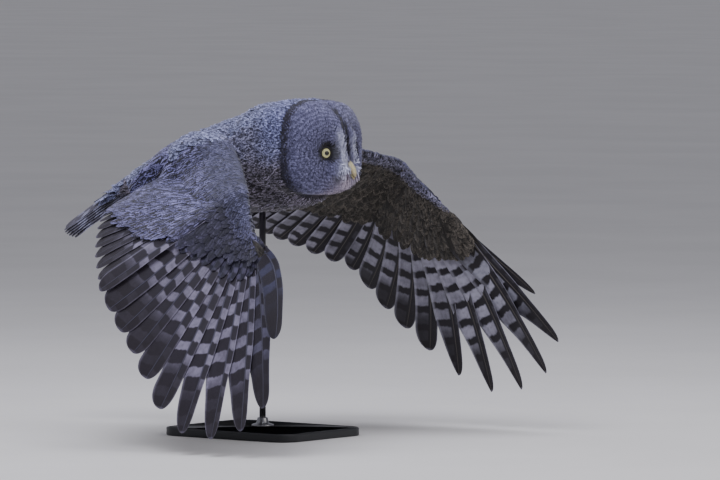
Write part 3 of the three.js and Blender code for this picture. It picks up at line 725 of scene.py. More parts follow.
class Finish:
    """A material with a Principled shader, and short calls for the nodes that feed it."""

    def __init__(self, name, **values):
        self.material = bpy.data.materials.new(name)
        self.material.use_nodes = True
        self.tree = self.material.node_tree
        self.shader = self.tree.nodes["Principled BSDF"]
        for key, value in values.items():
            self.shader.inputs[SHADER_SOCKETS[key]].default_value = value

    def stored(self, name, output="Vector"):
        node = self.tree.nodes.new("ShaderNodeAttribute")
        node.attribute_name = name
        return Signal(self.tree, node.outputs[output])

    def stored_colour(self, name):
        return self.stored(name, "Color")

    def stored_number(self, name):
        return self.stored(name, "Fac")

    def place(self):
        return Signal(self.tree, self.tree.nodes.new("ShaderNodeTexCoord").outputs["Object"])

    def stretched_place(self, stretch):
        """The place on the object, with each axis scaled."""
        place = self.place()
        return self.vector(*(place.axis(name) * scale for name, scale in zip("XYZ", stretch)))

    def vector(self, x, y, z):
        node = self.tree.nodes.new("ShaderNodeCombineXYZ")
        for socket, value in zip(node.inputs, (x, y, z)):
            feed(self.tree, socket, value)
        return Signal(self.tree, node.outputs[0])

    def noise(self, vector, scale, detail, roughness):
        node = self.tree.nodes.new("ShaderNodeTexNoise")
        feed(self.tree, node.inputs["Vector"], vector)
        feed(self.tree, node.inputs["Scale"], scale)
        feed(self.tree, node.inputs["Detail"], detail)
        feed(self.tree, node.inputs["Roughness"], roughness)
        return Signal(self.tree, node.outputs["Fac"])

    def blend(self, share, first, second):
        """The first colour where share is nothing, the second where it is one."""
        node = self.tree.nodes.new("ShaderNodeMix")
        node.data_type = "RGBA"
        colours = [socket for socket in node.inputs if socket.type == "RGBA"]
        feed(self.tree, node.inputs["Factor"], share)
        feed(self.tree, colours[0], first)
        feed(self.tree, colours[1], second)
        result = next(socket for socket in node.outputs if socket.type == "RGBA")
        return Signal(self.tree, result)

    def colour(self, value):
        feed(self.tree, self.shader.inputs["Base Color"], value)

    def roughness(self, value):
        feed(self.tree, self.shader.inputs["Roughness"], value)

    def bump(self, height, strength, distance):
        node = self.tree.nodes.new("ShaderNodeBump")
        feed(self.tree, node.inputs["Height"], height)
        feed(self.tree, node.inputs["Strength"], strength)
        feed(self.tree, node.inputs["Distance"], distance)
        self.tree.links.new(node.outputs[0], self.shader.inputs["Normal"])


def plumage_finish(name):
    """Small feathers: a dark shaft streak, wavy broken bars, speckles and a pale rim."""
    finish = Finish(name, roughness=0.72, sheen=0.3, sheen_roughness=0.45, specular=0.25)
    leaf = finish.stored("leaf")
    across, along, chance = abs(leaf.axis("X")), leaf.axis("Y"), leaf.axis("Z")
    marks = finish.stored("marks")
    bars, streak, contrast = marks.axis("X"), marks.axis("Y"), marks.axis("Z")
    pale, dark = finish.stored_colour("pale"), finish.stored_colour("dark")
    place = finish.place()
    wobble = finish.noise(place, 150.0, 3.0, 0.6)
    phase = along * bars + across * 0.45 + wobble * (bars * 0.7) + chance * 3.0
    bar = phase.wave().step(-0.2, 0.6)
    speckle = finish.noise(place, 430.0, 2.0, 0.6).step(0.4, 0.62)
    rim = across.step(0.5, 0.95).most(along.step(0.75, 0.97)) * (speckle * 0.75 + 0.15)
    share = bar * 0.4 + speckle * 0.4 + rim * 0.4
    share = share * (across.step(0.04, 0.4) * streak + streak.flip())
    share = share * (along.step(0.1, 0.5) * 0.65 + 0.35) * contrast
    share = share - (contrast.most(1.0) - 1) * 0.25
    finish.colour(finish.blend(share.most(0.0).least(1.0), dark, pale))
    barbs = (along * 9.0 + across * 3.0).wave()
    finish.bump(barbs * 0.5 + speckle * 0.4, 0.25, 0.0006)
    return finish.material


# Pale marks along flight feathers and greater coverts: millimetres from one mark to the next, the
# pale share of that, how far a mark slants for each millimetre across the vane, by what share of
# the period the marks of the leading vane are offset, how soft they are, how strong they are on
# the leading vane, and how wide a line beside the shaft stays dark.
UPPER_BARS = {"period": 42, "duty": 0.42, "slant": 0.12, "offset": 0.5, "softness": 0.07,
              "lead_strength": 1, "shaft_clear": 0}
UNDER_BARS = {"period": 33, "duty": 0.6, "slant": 0.1, "offset": 0.25, "softness": 0.12,
              "lead_strength": 0.1, "shaft_clear": 4}
COVERT_UPPER_BARS = {**UPPER_BARS, "period": 21, "slant": 0.3, "softness": 0.2}
COVERT_UNDER_BARS = {"period": 24, "duty": 0.35, "slant": 0.2, "offset": 0.5, "softness": 0.2,
                     "lead_strength": 0.4, "shaft_clear": 0}
BARB_WAVE = 1.6


def flight_finish(name, upper_bars, under_bars, rims):
    """Flight feathers. The pale marks alternate on the two sides of the shaft."""
    finish = Finish(name, roughness=0.55, sheen=0.12, sheen_roughness=0.4, specular=0.3)
    vane = finish.stored("vane")
    across, along, to_tip = vane.axis("X"), vane.axis("Y"), vane.axis("Z")
    who = finish.stored("who")
    chance, upper, share = who.axis("X"), who.axis("Y"), abs(who.axis("Z"))
    clear_tip = finish.stored_number("clear_tip")
    pale, dark = finish.stored_colour("pale"), finish.stored_colour("dark")
    shift = chance * 40.0  # so that no two feathers have the same grain
    wobble = finish.noise(finish.vector(across * 0.06, along * 0.03, shift), 1.0, 3.0, 0.55)
    leading = across.step(-0.2, 0.2)

    def pattern(period, duty, slant, offset, softness, lead_strength, shaft_clear):
        turn = (wobble * 14.0 + to_tip + abs(across) * (leading * (0.25 - slant) + slant)) / period
        phase = turn + leading * offset + chance * 0.45
        wave = abs((phase.part() * 2) - 1)
        mark = wave.step(1 - duty - softness, 1 - duty + softness)
        faint = to_tip.step(clear_tip * 0.6, clear_tip * 1.1)
        mark = mark * (leading * (lead_strength - 1) + 1)
        mark = mark * abs(across).step(shaft_clear, shaft_clear + 3)
        return mark * (faint * 0.9 + 0.1)

    lower = upper.flip()
    below = pattern(**under_bars) * (to_tip.step(60.0, 240.0) * 0.35 + 0.85)
    mark = pattern(**upper_bars) * upper + below * lower
    # On the under side the pale leans to white and the dark to a near black, which is painted shade.
    pale = finish.blend(lower * 0.3, pale, VANE_UNDERSIDE[0])
    dark = finish.blend(lower * 0.4, dark, VANE_UNDERSIDE[1])
    # Painted shade under the under coverts: the root of each vane's under side loses its marks and is
    # darkened toward the underwing tone.
    shade_under_coverts = lower * along.step(80.0, 150.0).flip()
    dark = finish.blend(shade_under_coverts, dark, UNDERWING_IN_SHADE[1] * 1.6)
    grain = finish.noise(finish.vector(across * 0.35, along * 0.06, shift), 1.0, 3.0, 0.6)
    pale_rim = share.step(0.8, 0.97).most(to_tip.step(1.5, 5.0).flip()) * rims
    patchy = finish.noise(finish.place(), 16.0, 2.0, 0.5).step(0.36, 0.6)
    mark = mark * (grain * 0.5 + 0.7) * (patchy * 0.45 + 0.6) + pale_rim * (grain + 0.2)
    colour = finish.blend(mark.least(1.0) * shade_under_coverts.flip(), dark, pale)
    mottle = finish.noise(finish.vector(across * 0.12, along * 0.12, chance * 17.0), 1.0, 2.0, 0.5)
    colour = finish.blend(mottle.step(0.35, 0.8) * 0.35, colour, VANE_MOTTLE)
    dusky_tip = to_tip.step(clear_tip * 0.2, clear_tip).flip()
    colour = finish.blend(dusky_tip * 0.4, colour, VANE_TIP)
    rachis = share.step(0.003, 0.012).flip()
    horn = finish.blend(upper, SHAFT_BELOW, SHAFT_ABOVE)
    finish.colour(finish.blend(rachis * 0.6, colour, horn))
    barb = ((along - abs(across) * 1.1) * (1 / BARB_WAVE)).wave()
    finish.bump(barb * 0.5 + grain, 0.3, 0.0004)
    return finish.material


def skin_finish():
    """Down over the skin, in the tones of the coat that lies over it."""
    finish = Finish("skin", roughness=0.85, sheen=0.2, specular=0.2)
    place = finish.place()
    down = finish.noise(place, 260.0, 4.0, 0.65)
    blotch = finish.noise(place, 60.0, 2.0, 0.5)
    share = down.step(0.35, 0.7) * 0.35 + blotch.step(0.35, 0.7) * 0.2
    finish.colour(finish.blend(share, finish.stored_colour("dark"), finish.stored_colour("pale")))
    finish.bump(down, 0.5, 0.0008)
    return finish.material


def streaked_finish(name, tones, scale, stretch, bump, **values):
    """Two tones in streaks: horn grain, brushed metal or the skin of the lids."""
    finish = Finish(name, **values)
    grain = finish.noise(finish.stretched_place(stretch), scale, 4.0, 0.6)
    finish.colour(finish.blend(grain.step(0.3, 0.7), *tones))
    finish.bump(grain, bump, 0.0003)
    finish.roughness(grain * 0.16 + (values["roughness"] - 0.08))
    return finish.material


def bill_finish():
    """Yellow horn with a fine grain along the bill, darker toward its tip."""
    finish = Finish("bill horn", roughness=0.36, specular=0.45, subsurface=0.08)
    down = finish.stored_number("down")
    grain = finish.noise(finish.stretched_place((2.2, 2.2, 1)), 420.0, 4.0, 0.6)
    colour = finish.blend(grain.step(0.3, 0.7), *BILL_TONES)
    finish.colour(finish.blend(down.step(0.72, 1.05) * 0.45, colour, BILL_TIP))
    finish.bump(grain, 0.2, 0.0003)
    return finish.material


def painted_finish():
    """Satin paint with a faint orange peel and a little dust."""
    finish = Finish("painted board", roughness=0.42, specular=0.4)
    place = finish.place()
    dust = finish.noise(place, 14.0, 5.0, 0.65)
    peel = finish.noise(place, 900.0, 2.0, 0.5)
    finish.colour(finish.blend(dust.step(0.35, 0.8) * 0.5, *BOARD_TONES))
    finish.roughness(dust * 0.25 + 0.32)
    finish.bump(peel, 0.12, 0.0002)
    return finish.material


# Tones of horn, eyes and the display: two that a grain or dust blends, and any third.

BILL_TONES, BILL_TIP = (rgb(178, 164, 124), rgb(216, 204, 164)), rgb(120, 104, 74)
CLAW_TONES = rgb(20, 18, 19), rgb(48, 43, 42)
LID_TONES = rgb(14, 12, 16), rgb(36, 33, 40)
IRIS_TONES, IRIS_RIM, PUPIL = (rgb(206, 200, 128), rgb(244, 242, 186)), rgb(24, 20, 18), rgb(3, 3, 4)
METAL_TONES = rgb(128, 128, 130), rgb(168, 168, 170)
BOARD_TONES = rgb(40, 41, 43), rgb(58, 59, 60)
FLOOR_TONES = rgb(222, 220, 216), rgb(228, 226, 222)


# Tones of the coat


def tone(pale, dark):
    """The pale and the dark colour of a stretch of plumage."""
    return np.array([rgb(*pale), rgb(*dark)])


def shades(colour, pale, dark):
    """A tone from two shades of one colour."""
    return np.array([colour * pale, colour * dark])


def mixed(first, second, share):
    """Tones between two, from one share for each place."""
    return lerp(first, second, np.asarray(share, float)[..., None, None])


def shaded(tones, shade):
    return tones * shade[:, None, None]


def give_tones(made, tones):
    """Stores the pale and the dark colour for each point of the object's mesh."""
    opaque = np.concatenate([tones, np.ones(tones.shape[:-1] + (1,))], -1)
    give(made, pale=opaque[:, 0], dark=opaque[:, 1])


# The back's tone and the belly's tone are a lit and a shaded copy of the body's coat: painted light where
# the coat faces up, painted shade where it faces down.
BACK_IN_LIGHT = tone((172, 178, 222), (50, 50, 74))
CROWN = tone((164, 170, 222), (48, 48, 80))
BELLY_IN_SHADE = tone((150, 142, 162), (36, 33, 38))
# The underwing's tone is painted shade: the under side of the wings, darkened as if out of the light.
UNDERWING_IN_SHADE = tone((116, 108, 98), (30, 27, 24))
FRONT_EDGE = tone((156, 153, 182), (16, 15, 20))
MANTLE = tone((140, 138, 190), (26, 24, 37))
LESSER = tone((112, 112, 146), (50, 50, 72))
LOBE = tone((84, 80, 104), (38, 37, 52))
FACE = tone((150, 150, 192), (58, 56, 84))
BRISTLE = tone((222, 208, 228), (112, 98, 116))
REMEX = tone((142, 136, 158), (44, 39, 49))
TAIL = tone((150, 150, 176), (74, 70, 84))
# The under side of the vanes: white for its pale marks, and a near black dark that is painted shade.
VANE_UNDERSIDE = tone((235, 235, 250), (20, 17, 17))
VANE_MOTTLE, VANE_TIP = rgb(30, 27, 31), rgb(30, 23, 25)
SHAFT_ABOVE, SHAFT_BELOW = rgb(88, 88, 108), rgb(110, 104, 96)
WHITE_BROW = rgb(228, 230, 255)
RIM_DARK = rgb(26, 23, 30)
RUFF = shades(RIM_DARK, 1.8, 1)
FINGER = np.array([rgb(60, 60, 84), REMEX[1] * 0.8])
LAST_TIER = np.array([MANTLE[0] * 0.75, REMEX[1] * 0.8])


def uneven(points, size):
    """A slow change over the coat, about nothing, from waves that cross one another."""
    x, y, z = (points / size).T
    first = np.sin(x + 1.7 * np.sin(y * 0.9))
    second = np.sin(y * 1.3 + 1.4 * np.sin(z))
    third = np.sin(z * 1.1 + 1.6 * np.sin(x * 0.8))
    return (first + second + third) / 3


def body_tones(points, normals):
    """Tones of the coat of the body, the back of the head and the legs, with painted light above and
    painted shade below.
    """
    # Painted light and shade: the lit back tone takes over as the normal turns up, the shaded belly tone
    # as it turns down.
    high = np.clip(smooth(normals[:, 2], -0.35, 0.5) + 0.15 * uneven(points, 9), 0, 1)
    crown = smooth(points[:, 0], 50, 95) * smooth(points[:, 2], -20, 40)
    tones = mixed(mixed(BELLY_IN_SHADE, BACK_IN_LIGHT, high), CROWN, crown)
    return mixed(tones, RUFF, 0.85 * ruff_share(points))


def ruff_share(points):
    """How far places belong to the narrow dark ruff behind the rim of the facial discs."""
    fade = 1 - 0.6 * smooth(points[:, 2], 50, 90)
    return smooth(points[:, 0], 115.5, 119.5) * (rim_share(points[:, 1], points[:, 2]) > 0.9) * fade


# Feathers as meshes

LEAF_ROWS = np.array([0, 0.22, 0.45, 0.65, 0.82, 0.94, 1.0])
LEAF_COLUMNS = np.array([-1, -0.5, 0, 0.5, 1])
# Half the width at each row, where the widest is one.
LEAF_HALF = lerp(0.35, 1, smooth(LEAF_ROWS, 0, 0.5)) * np.sqrt(
    np.maximum(0.012, 1 - np.maximum(0, (LEAF_ROWS - 0.55) / 0.46) ** 2))
LEAF_PATCH = (0.0015, 0.003)  # size of a leaf's patch on the bake map
UNWRAP_HEIGHT, UNWRAP_BACK, UNWRAP_LENGTH = 5, -345, 525


def in_margins(share):
    """A place on the bake map for a share of it, kept off its edges."""
    return 0.01 + 0.97 * share


def leaves(spine, up, half, camber=0.18):
    """Points of thin leaves, each about its own spine. spine and up are (leaf, row, 3)."""
    ahead = unit(np.gradient(spine, axis=1))
    side = unit(np.cross(up, ahead))
    lid = unit(np.cross(ahead, side))
    width = (half[:, None] * LEAF_HALF)[..., None]
    across = width * LEAF_COLUMNS
    drop = -camber * width * LEAF_COLUMNS**2
    return spine[:, :, None] + side[:, :, None] * column(across) + lid[:, :, None] * column(drop)


def leaf_object(name, points, tones, marks, places_uv, random, material):
    """One object from the points of many leaves, with their tones and bake patches."""
    count, rows, columns = points.shape[:3]
    made = new_object(name, points.reshape(-1, 3), grid_faces(rows, columns, count))
    each = rows * columns
    leaf = np.empty((count, rows, columns, 3))
    leaf[..., 0] = LEAF_COLUMNS
    leaf[..., 1] = LEAF_ROWS[:, None]
    leaf[..., 2] = random.random(count)[:, None, None]
    give(made, leaf=leaf.reshape(-1, 3), marks=np.repeat(marks, each, 0))
    give_tones(made, np.repeat(tones, each, 0))
    patch = leaf[..., :2] * LEAF_PATCH
    give_uv(made, (places_uv[:, None, None] + patch).reshape(-1, 2))
    return finished(made, material, "plumage")


class Skin:
    """The skin under the coat, and questions about it and about the cores of the wings."""

    def __init__(self, made, wing_points, wing_faces):
        self.points = mesh_points(made)
        corners = np.empty(len(made.data.polygons) * 4, np.int32)
        made.data.polygons.foreach_get("vertices", corners)
        self.faces = corners.reshape(-1, 4)
        self.tree = BVHTree.FromPolygons(self.points.tolist(), self.faces.tolist())
        self.wings = BVHTree.FromPolygons(wing_points.tolist(), wing_faces)

    def nearest(self, points):
        """The nearest place on the skin and the skin's normal there."""
        found = [self.tree.find_nearest(p) for p in points.reshape(-1, 3).tolist()]
        place = np.array([f[0] for f in found]).reshape(points.shape)
        normal = np.array([f[1] for f in found]).reshape(points.shape)
        return place, normal

    def from_wing(self, points):
        return np.array([self.wings.find_nearest(p)[3] for p in points.tolist()])


SKIN_VOXEL = 0.003  # metres
SOFTEN_FACTOR, SOFTEN_TURNS = 0.5, 6
FLANK = 92  # half the width beyond which the coat belongs to a wing


def make_skin():
    surfaces = [body_rings(), head_rings()]
    for rings in leg_surfaces():
        surfaces += [rings, rings * MIRROR]
    cores = [wing_core_rings(wing["table"]) * wing["mirror"] for wing in WINGS.values()]
    made = new_object("skin", *joined(surfaces + cores))
    remesh = made.modifiers.new("one skin", "REMESH")
    remesh.mode = "VOXEL"
    remesh.voxel_size = SKIN_VOXEL
    soften = made.modifiers.new("soften", "SMOOTH")
    soften.factor = SOFTEN_FACTOR
    soften.iterations = SOFTEN_TURNS
    apply_modifiers(made)
    made.data.shade_smooth()
    made.data.update()
    skin = Skin(made, *joined(cores))
    normals = np.empty(len(made.data.vertices) * 3, np.float32)
    made.data.vertices.foreach_get("normal", normals)
    give_tones(made, skin_tones(skin, skin.points, normals.reshape(-1, 3).astype(float)))
    return made, skin


def skin_tones(skin, points, normals):
    """The tones of the coat over each place of the skin."""
    tones = mixed(body_tones(points, normals), face_tones(points), is_face(points))
    # Where the skin is a wing's core, its upper side takes the lesser coverts' tone and its under side the
    # underwing tone, which is painted shade.
    wing = (skin.from_wing(points) < 4) & (np.abs(points[:, 1]) > FLANK)
    upper = smooth(normals[:, 2], -0.1, 0.3)
    return mixed(tones, mixed(UNDERWING_IN_SHADE, LESSER, upper), wing)


def unwrapped(points):
    """Places of points of the body or head on an unwrap of the skin round its long axis."""
    angle = np.arctan2(points[..., 1], points[..., 2] - UNWRAP_HEIGHT)
    around = (angle + pi) / (2 * pi)
    length = np.clip((points[..., 0] - UNWRAP_BACK) / UNWRAP_LENGTH, 0, 1)
    return in_margins(np.stack([around, length], -1))


SCATTER_TRIES = 6  # draws for each place that the spacing has room for
DRAPE_SEARCH = 4  # how far above the skin a feather looks for it


def scatter(skin, spacing_at, wanted, random):
    """Places on the skin, evenly set at the spacing asked for, with normals."""
    a, b, c, d = (skin.points[skin.faces[:, k]] for k in range(4))
    cross = np.cross(c - a, d - b)
    area = np.linalg.norm(cross, axis=1) / 2
    normals = unit(cross)
    centres = (a + b + c + d) / 4
    spacing = np.where(wanted(centres), spacing_at(centres), np.inf)
    weight = area / spacing**2
    count = int(weight.sum() * SCATTER_TRIES)
    faces = random.choice(len(area), count, p=weight / weight.sum())
    u, v = random.random((2, count, 1))
    places = lerp(lerp(a[faces], b[faces], u), lerp(d[faces], c[faces], u), v)
    keep = thinned(places, spacing[faces])
    return places[keep], normals[faces[keep]]


def thinned(places, spacing):
    """Which of the places to keep, so that no two lie closer than the spacing."""
    cell = float(np.max(spacing))
    boxes, kept = {}, []
    keys = np.floor(places / cell).astype(int).tolist()
    neighbours = [(i, j, k) for i in (-1, 0, 1) for j in (-1, 0, 1) for k in (-1, 0, 1)]
    for n, ((x, y, z), (a, b, c)) in enumerate(zip(places.tolist(), keys)):
        least = spacing[n] ** 2
        near = (p for i, j, k in neighbours for p in boxes.get((a + i, b + j, c + k), ()))
        if any((x - p[0]) ** 2 + (y - p[1]) ** 2 + (z - p[2]) ** 2 < least for p in near):
            continue
        boxes.setdefault((a, b, c), []).append((x, y, z))
        kept.append(n)
    return np.array(kept)


def draped(skin, roots, normals, way, length, low, high, random, jitter):
    """Spines of feathers that lie over the skin, low at the root and high at the tip.

    Where the skin ends under them, above the tail, they go on straight."""
    t = LEAF_ROWS
    reach = roots[:, None] + way[:, None] * (length[:, None] * t)[..., None]
    reach = reach + normals[:, None] * DRAPE_SEARCH
    place, up = skin.nearest(reach)
    off_skin = smooth(np.linalg.norm(reach - place, axis=-1), 9, 20)
    free = column(off_skin * smooth(reach[..., 0], -300, -330))
    place = lerp(place, reach - normals[:, None] * DRAPE_SEARCH, free)
    up = unit(lerp(up, normals[:, None], free))
    height = lerp(low, high, t) + random.uniform(-jitter, jitter, (len(roots), 1)) * t
    return place + up * column(height), up


# Coat of the body and head

# Length and half width of the small feathers in each region.
BODY_LEAF, HEAD_LEAF = np.array([34, 7.0]), np.array([19, 4.8])
RUMP_UNDER_LEAF, RUMP_UPPER_LEAF = np.array([50, 9.5]), np.array([66, 9.5])
FOOT_LEAF, RUFF_LEAF = np.array([12, 3.4]), np.array([6, 2.4])
BACK_LONGER = np.array([10, 0])
BODY_SPACING, HEAD_SPACING, RUFF_SPACING = 6.4, 4.2, 2.6
FACE_START = 108  # the face lies ahead of this place along X
COAT_END = -318  # and the coat of the body ahead of this one
RING_SPACING = 5.8  # between the dark rings about the eye
FACE_MIDDLE = np.array([150.0, 0, 12])  # the lie of the small feathers turns about this place
EYES = EYE_PLACE * np.array([[1.0, 1.0, 1.0], [1.0, -1.0, 1.0]])


def is_face(points):
    """The facial discs: the front of the head, inside its rim."""
    return (points[:, 0] > FACE_START) & (rim_share(points[:, 1], points[:, 2]) < 0.998)


def from_eye(points):
    """Vector from the nearer eye, and its length across the face."""
    near = np.where(points[:, 1:2] > 0, EYES[0], EYES[1])
    away = points - near
    return away, np.hypot(away[:, 1], away[:, 2])


def body_way(points, normals):
    """The lie of the coat: back from the face, then along the body and down the tail."""
    head = column(smooth(points[:, 0], 30, 110))
    out = points - FACE_MIDDLE
    out[:, 0] = 0
    around = unit(out) * 0.9 + np.array([-0.75, 0, 0])
    low = column(smooth(points[:, 0], -150, -300))
    back = np.array([-1.0, 0, -0.12]) + low * np.array([0, 0, -0.35])
    return flat_to(lerp(back + 0 * points, around, head), normals)


def make_body_coat(skin, material):
    random = np.random.default_rng(BODY_SEED)

    def wanted(points):
        off_wing = (skin.from_wing(points) > 2.0) | (np.abs(points[:, 1]) < FLANK)
        return ~is_face(points) & off_wing & (points[:, 0] > COAT_END)

    def spacing(points):
        body_or_head = lerp(BODY_SPACING, HEAD_SPACING, smooth(points[:, 0], 20, 90))
        return lerp(body_or_head, RUFF_SPACING, smooth(points[:, 0], 108, 114))

    roots, normals = scatter(skin, spacing, wanted, random)
    count = len(roots)
    head = smooth(roots[:, 0], 10, 90)
    rump = smooth(roots[:, 0], -190, -270)
    foot = smooth(roots[:, 2], -84, -98) * (roots[:, 0] < -120)
    ruff = smooth(roots[:, 0], 109, 115)
    above = column(smooth(normals[:, 2], 0, 0.5) * (1 - head))
    below = smooth(normals[:, 2], 0.1, -0.5)
    scale = random.uniform(0.8, 1.2, count)
    size = lerp(BODY_LEAF, HEAD_LEAF, column(head)) + BACK_LONGER * above
    size = lerp(size, lerp(RUMP_UNDER_LEAF, RUMP_UPPER_LEAF, above), column(rump)) * column(scale)
    length, half = lerp(lerp(size, FOOT_LEAF, column(foot)), RUFF_LEAF, column(ruff)).T
    way = turned(body_way(roots, normals), normals, random.normal(0, 0.16, count))
    high = lerp(BODY_COAT, HEAD_COAT, head) * 0.92
    high = lerp(high, 3.0, foot)[:, None]
    spine, up = draped(skin, roots, normals, way, length, 0.5, high, random, 1.2)
    shade = random.uniform(0.62, 1.2, count) + 0.12 * uneven(roots, 6)
    shade = np.maximum(0.3, 0.95 + (shade - 0.95) * (1 + 0.9 * below))
    marks = np.stack([lerp(2.4, 2.0, head), 0.75 + 0.2 * below, 1.15 + 0.45 * below], -1)
    leaf_object("coat_body", leaves(spine, up, half), shaded(body_tones(roots, normals), shade), marks,
                unwrapped(roots), random, material)


def face_tones(points):
    """Tones at places on the face, from layers laid one over the other."""
    away = from_eye(points)[0]
    y, z = np.abs(points[:, 1]), points[:, 2]
    round_eye = np.hypot(away[:, 1], away[:, 2] + np.minimum(0, away[:, 2]) * 0.3)
    brow = bell(y, 13 + 0.006 * (z - 4) ** 2, 7) * smooth(z, -40, -24) * (1 - smooth(z, 22, 46))
    layers = [
        (1 - smooth(round_eye, 12.5, 18.5), shades(RIM_DARK, 0.8, 0.4)),
        (brow, shades(WHITE_BROW, 1, 0.6)),
        (bell(y, 11, 15) * smooth(z, -18, -30), BRISTLE),
        (bell(y, 24, 6) * bell(z, -27, 8) * 0.8, shades(RIM_DARK, 2.5, 1.2)),
        (bell(y, 0, 4) * smooth(z, -8, 2) * (1 - smooth(z, 66, 84)), shades(RIM_DARK, 1.3, 0.8)),
        (bell(y, 0, 8) * smooth(z, -40, -50), shades(RIM_DARK, 1.5, 1)),
    ]
    tones = FACE
    for share, layer in layers:
        tones = mixed(tones, layer, share)
    return tones


def make_face_coat(skin, material):
    random = np.random.default_rng(FACE_SEED)

    def wanted(points):
        return is_face(points) & (from_eye(points)[1] > EYE_RADIUS)

    def spacing(points):
        return lerp(2.1, 2.9, smooth(from_eye(points)[1], 12, 60))

    roots, normals = scatter(skin, spacing, wanted, random)
    count = len(roots)
    away, reach = from_eye(roots)
    y, z = np.abs(roots[:, 1]), roots[:, 2]
    rim = rim_share(roots[:, 1], z)
    bristle = bell(y, 14, 12) * bell(z, -28, 17)
    crescent = bell(y, 13, 7) * smooth(z, -22, -6) * (1 - smooth(z, 26, 44))
    middle = (1 - smooth(y, 10, 24)) * smooth(z, -16, -4)
    plain = np.maximum(bristle, crescent)
    upright = np.stack([0 * y, np.sign(roots[:, 1]) * 0.25, 1 + 0 * y], -1)
    hanging = unit((roots - (150, 0, 6)) * (0, 0.7, 1))
    way = lerp(unit(away), upright, column(np.maximum(crescent, middle)))
    way = flat_to(lerp(way, hanging, column(bristle)), normals)
    way = turned(way, normals, random.normal(0, 0.12, count))
    scale = random.uniform(0.8, 1.2, count)
    length = lerp(8, 16, smooth(reach, 11, 40)) * (1 - 0.45 * smooth(rim, 0.78, 0.95))
    by_bill = 1 - 0.45 * bell(z, -15, 10) * bell(y, 14, 12)
    length = lerp(lerp(length, 11, crescent), 15, bristle) * scale * by_bill
    half = lerp(lerp(1.3, 2.0, smooth(reach, 11, 60)), 1.3, plain) * scale
    high = FACE_COAT + 3.5 * bristle + 4.5 * crescent
    spine, up = draped(skin, roots, normals, way, length, 0.4, high[:, None], random, 0.5)
    points = leaves(spine, up, half, camber=0.06)
    tones = shaded(face_tones(roots), random.uniform(0.86, 1.1, count))
    marks = np.stack([0 * rim, plain, 1 + 0 * rim], -1)
    made = leaf_object("coat_face", points, tones, marks, unwrapped(roots), random, material)
    flat = points.reshape(-1, 3)
    give(made, ring=from_eye(flat)[1], rim=rim_share(flat[:, 1], flat[:, 2]))


def face_finish():
    """Narrow feathers of the facial discs, with broken dark rings about the eye and a dark rim."""
    finish = Finish("face plumage", roughness=0.75, sheen=0.25, sheen_roughness=0.5, specular=0.25)
    leaf = finish.stored("leaf")
    across, along, chance = leaf.axis("X"), leaf.axis("Y"), leaf.axis("Z")
    plain = finish.stored("marks").axis("Y")
    pale, dark = finish.stored_colour("pale"), finish.stored_colour("dark")
    ring, rim = finish.stored_number("ring"), finish.stored_number("rim")
    place = finish.place()
    wobble = finish.noise(place, 75.0, 4.0, 0.7)
    wave = (ring / RING_SPACING + wobble * 2.1 + chance * 0.4).wave().step(-0.7, 0.7)
    patches = finish.noise(place, 110.0, 2.0, 0.6).step(0.3, 0.65)
    speckle = finish.noise(place, 600.0, 2.0, 0.6).step(0.35, 0.65)
    share = wave * (patches * 0.38 + 0.12) + speckle * 0.4
    share = share * plain.flip() + plain * (along * 0.8 + 0.1)
    colour = finish.blend(share, dark, pale)
    border = rim.step(0.978, 0.996)
    finish.colour(finish.blend(border * 0.9, colour, RIM_DARK * 1.1))
    barbs = (along * 7.0 + abs(across) * 2.0).wave()
    finish.bump(barbs * 0.5 + speckle * 0.5, 0.15, 0.0004)
    return finish.material


# Flight feathers and their coverts

FLIGHT_SHARES = np.array([0.12, 0.3, 0.5, 0.7, 0.86, 1.0])
# Stations along a vane, closer together at its rounded end.
NEAR_TIP = 1 - 0.1 * np.linspace(1, 0, 15)[1:] ** 1.6
FLIGHT_STATIONS = np.sort(np.concatenate([np.linspace(0, 0.9, 40), NEAR_TIP]))
VANE_THICKNESS = 0.4
SHAFT_TIP = 0.3  # half the width of the shaft where it ends


def vane_points(feather, chance):
    """A flight feather as a closed leaf with a raised shaft.

    Gives points (face, station, column, 3), upper face first, with the leading edge last, and how
    far each column lies from the shaft, in millimetres and as a share of the vane."""
    t = FLIGHT_STATIONS
    centre, side, up, tilt = feather["frame"](t)
    before, after = feather["widths"](t)
    reach = lerp(feather["rachis"], SHAFT_TIP, t**0.7)
    before, after = np.maximum(before, reach * 1.04), np.maximum(after, reach * 1.04)
    behind = -(reach[:, None] + (after - reach)[:, None] * FLIGHT_SHARES[::-1])
    ahead = reach[:, None] + (before - reach)[:, None] * FLIGHT_SHARES
    across = np.hstack([behind, -reach[:, None], 0 * reach[:, None], reach[:, None], ahead])
    share = np.hstack([-FLIGHT_SHARES[::-1], [0, 0, 0], FLIGHT_SHARES])
    ripple = 0.35 * np.sin(2 * pi * (t * 3.1 + chance))[:, None] * share**2
    sag = feather["camber"] * np.where(share < 0, 1, 0.4) * share**2
    middle = across * column(tilt) - sag + ripple
    shaft = np.zeros(len(share))
    shaft[len(FLIGHT_SHARES) + 1] = 1
    half = VANE_THICKNESS / 2 * (1 - 0.5 * share**2) + shaft * reach[:, None] * 0.62
    flat = centre[:, None] + side[:, None] * column(across)
    faces = [flat + up[:, None] * column(middle + face * half) for face in (1, -1)]
    return np.array(faces), across, share


def closed_leaf_faces(rows, columns):
    """Faces of one closed leaf whose upper grid of points is followed by its lower grid."""
    total = rows * columns
    upper = grid_faces(rows, columns)
    grid = np.arange(total).reshape(rows, columns)
    edge = np.concatenate([grid[0, :-1], grid[:-1, -1], grid[-1, :0:-1], grid[:0:-1, 0]])
    beside = np.roll(edge, -1)
    rim = np.stack([beside, edge, edge + total, beside + total], -1)
    return np.vstack([upper, upper[:, ::-1] + total, rim])


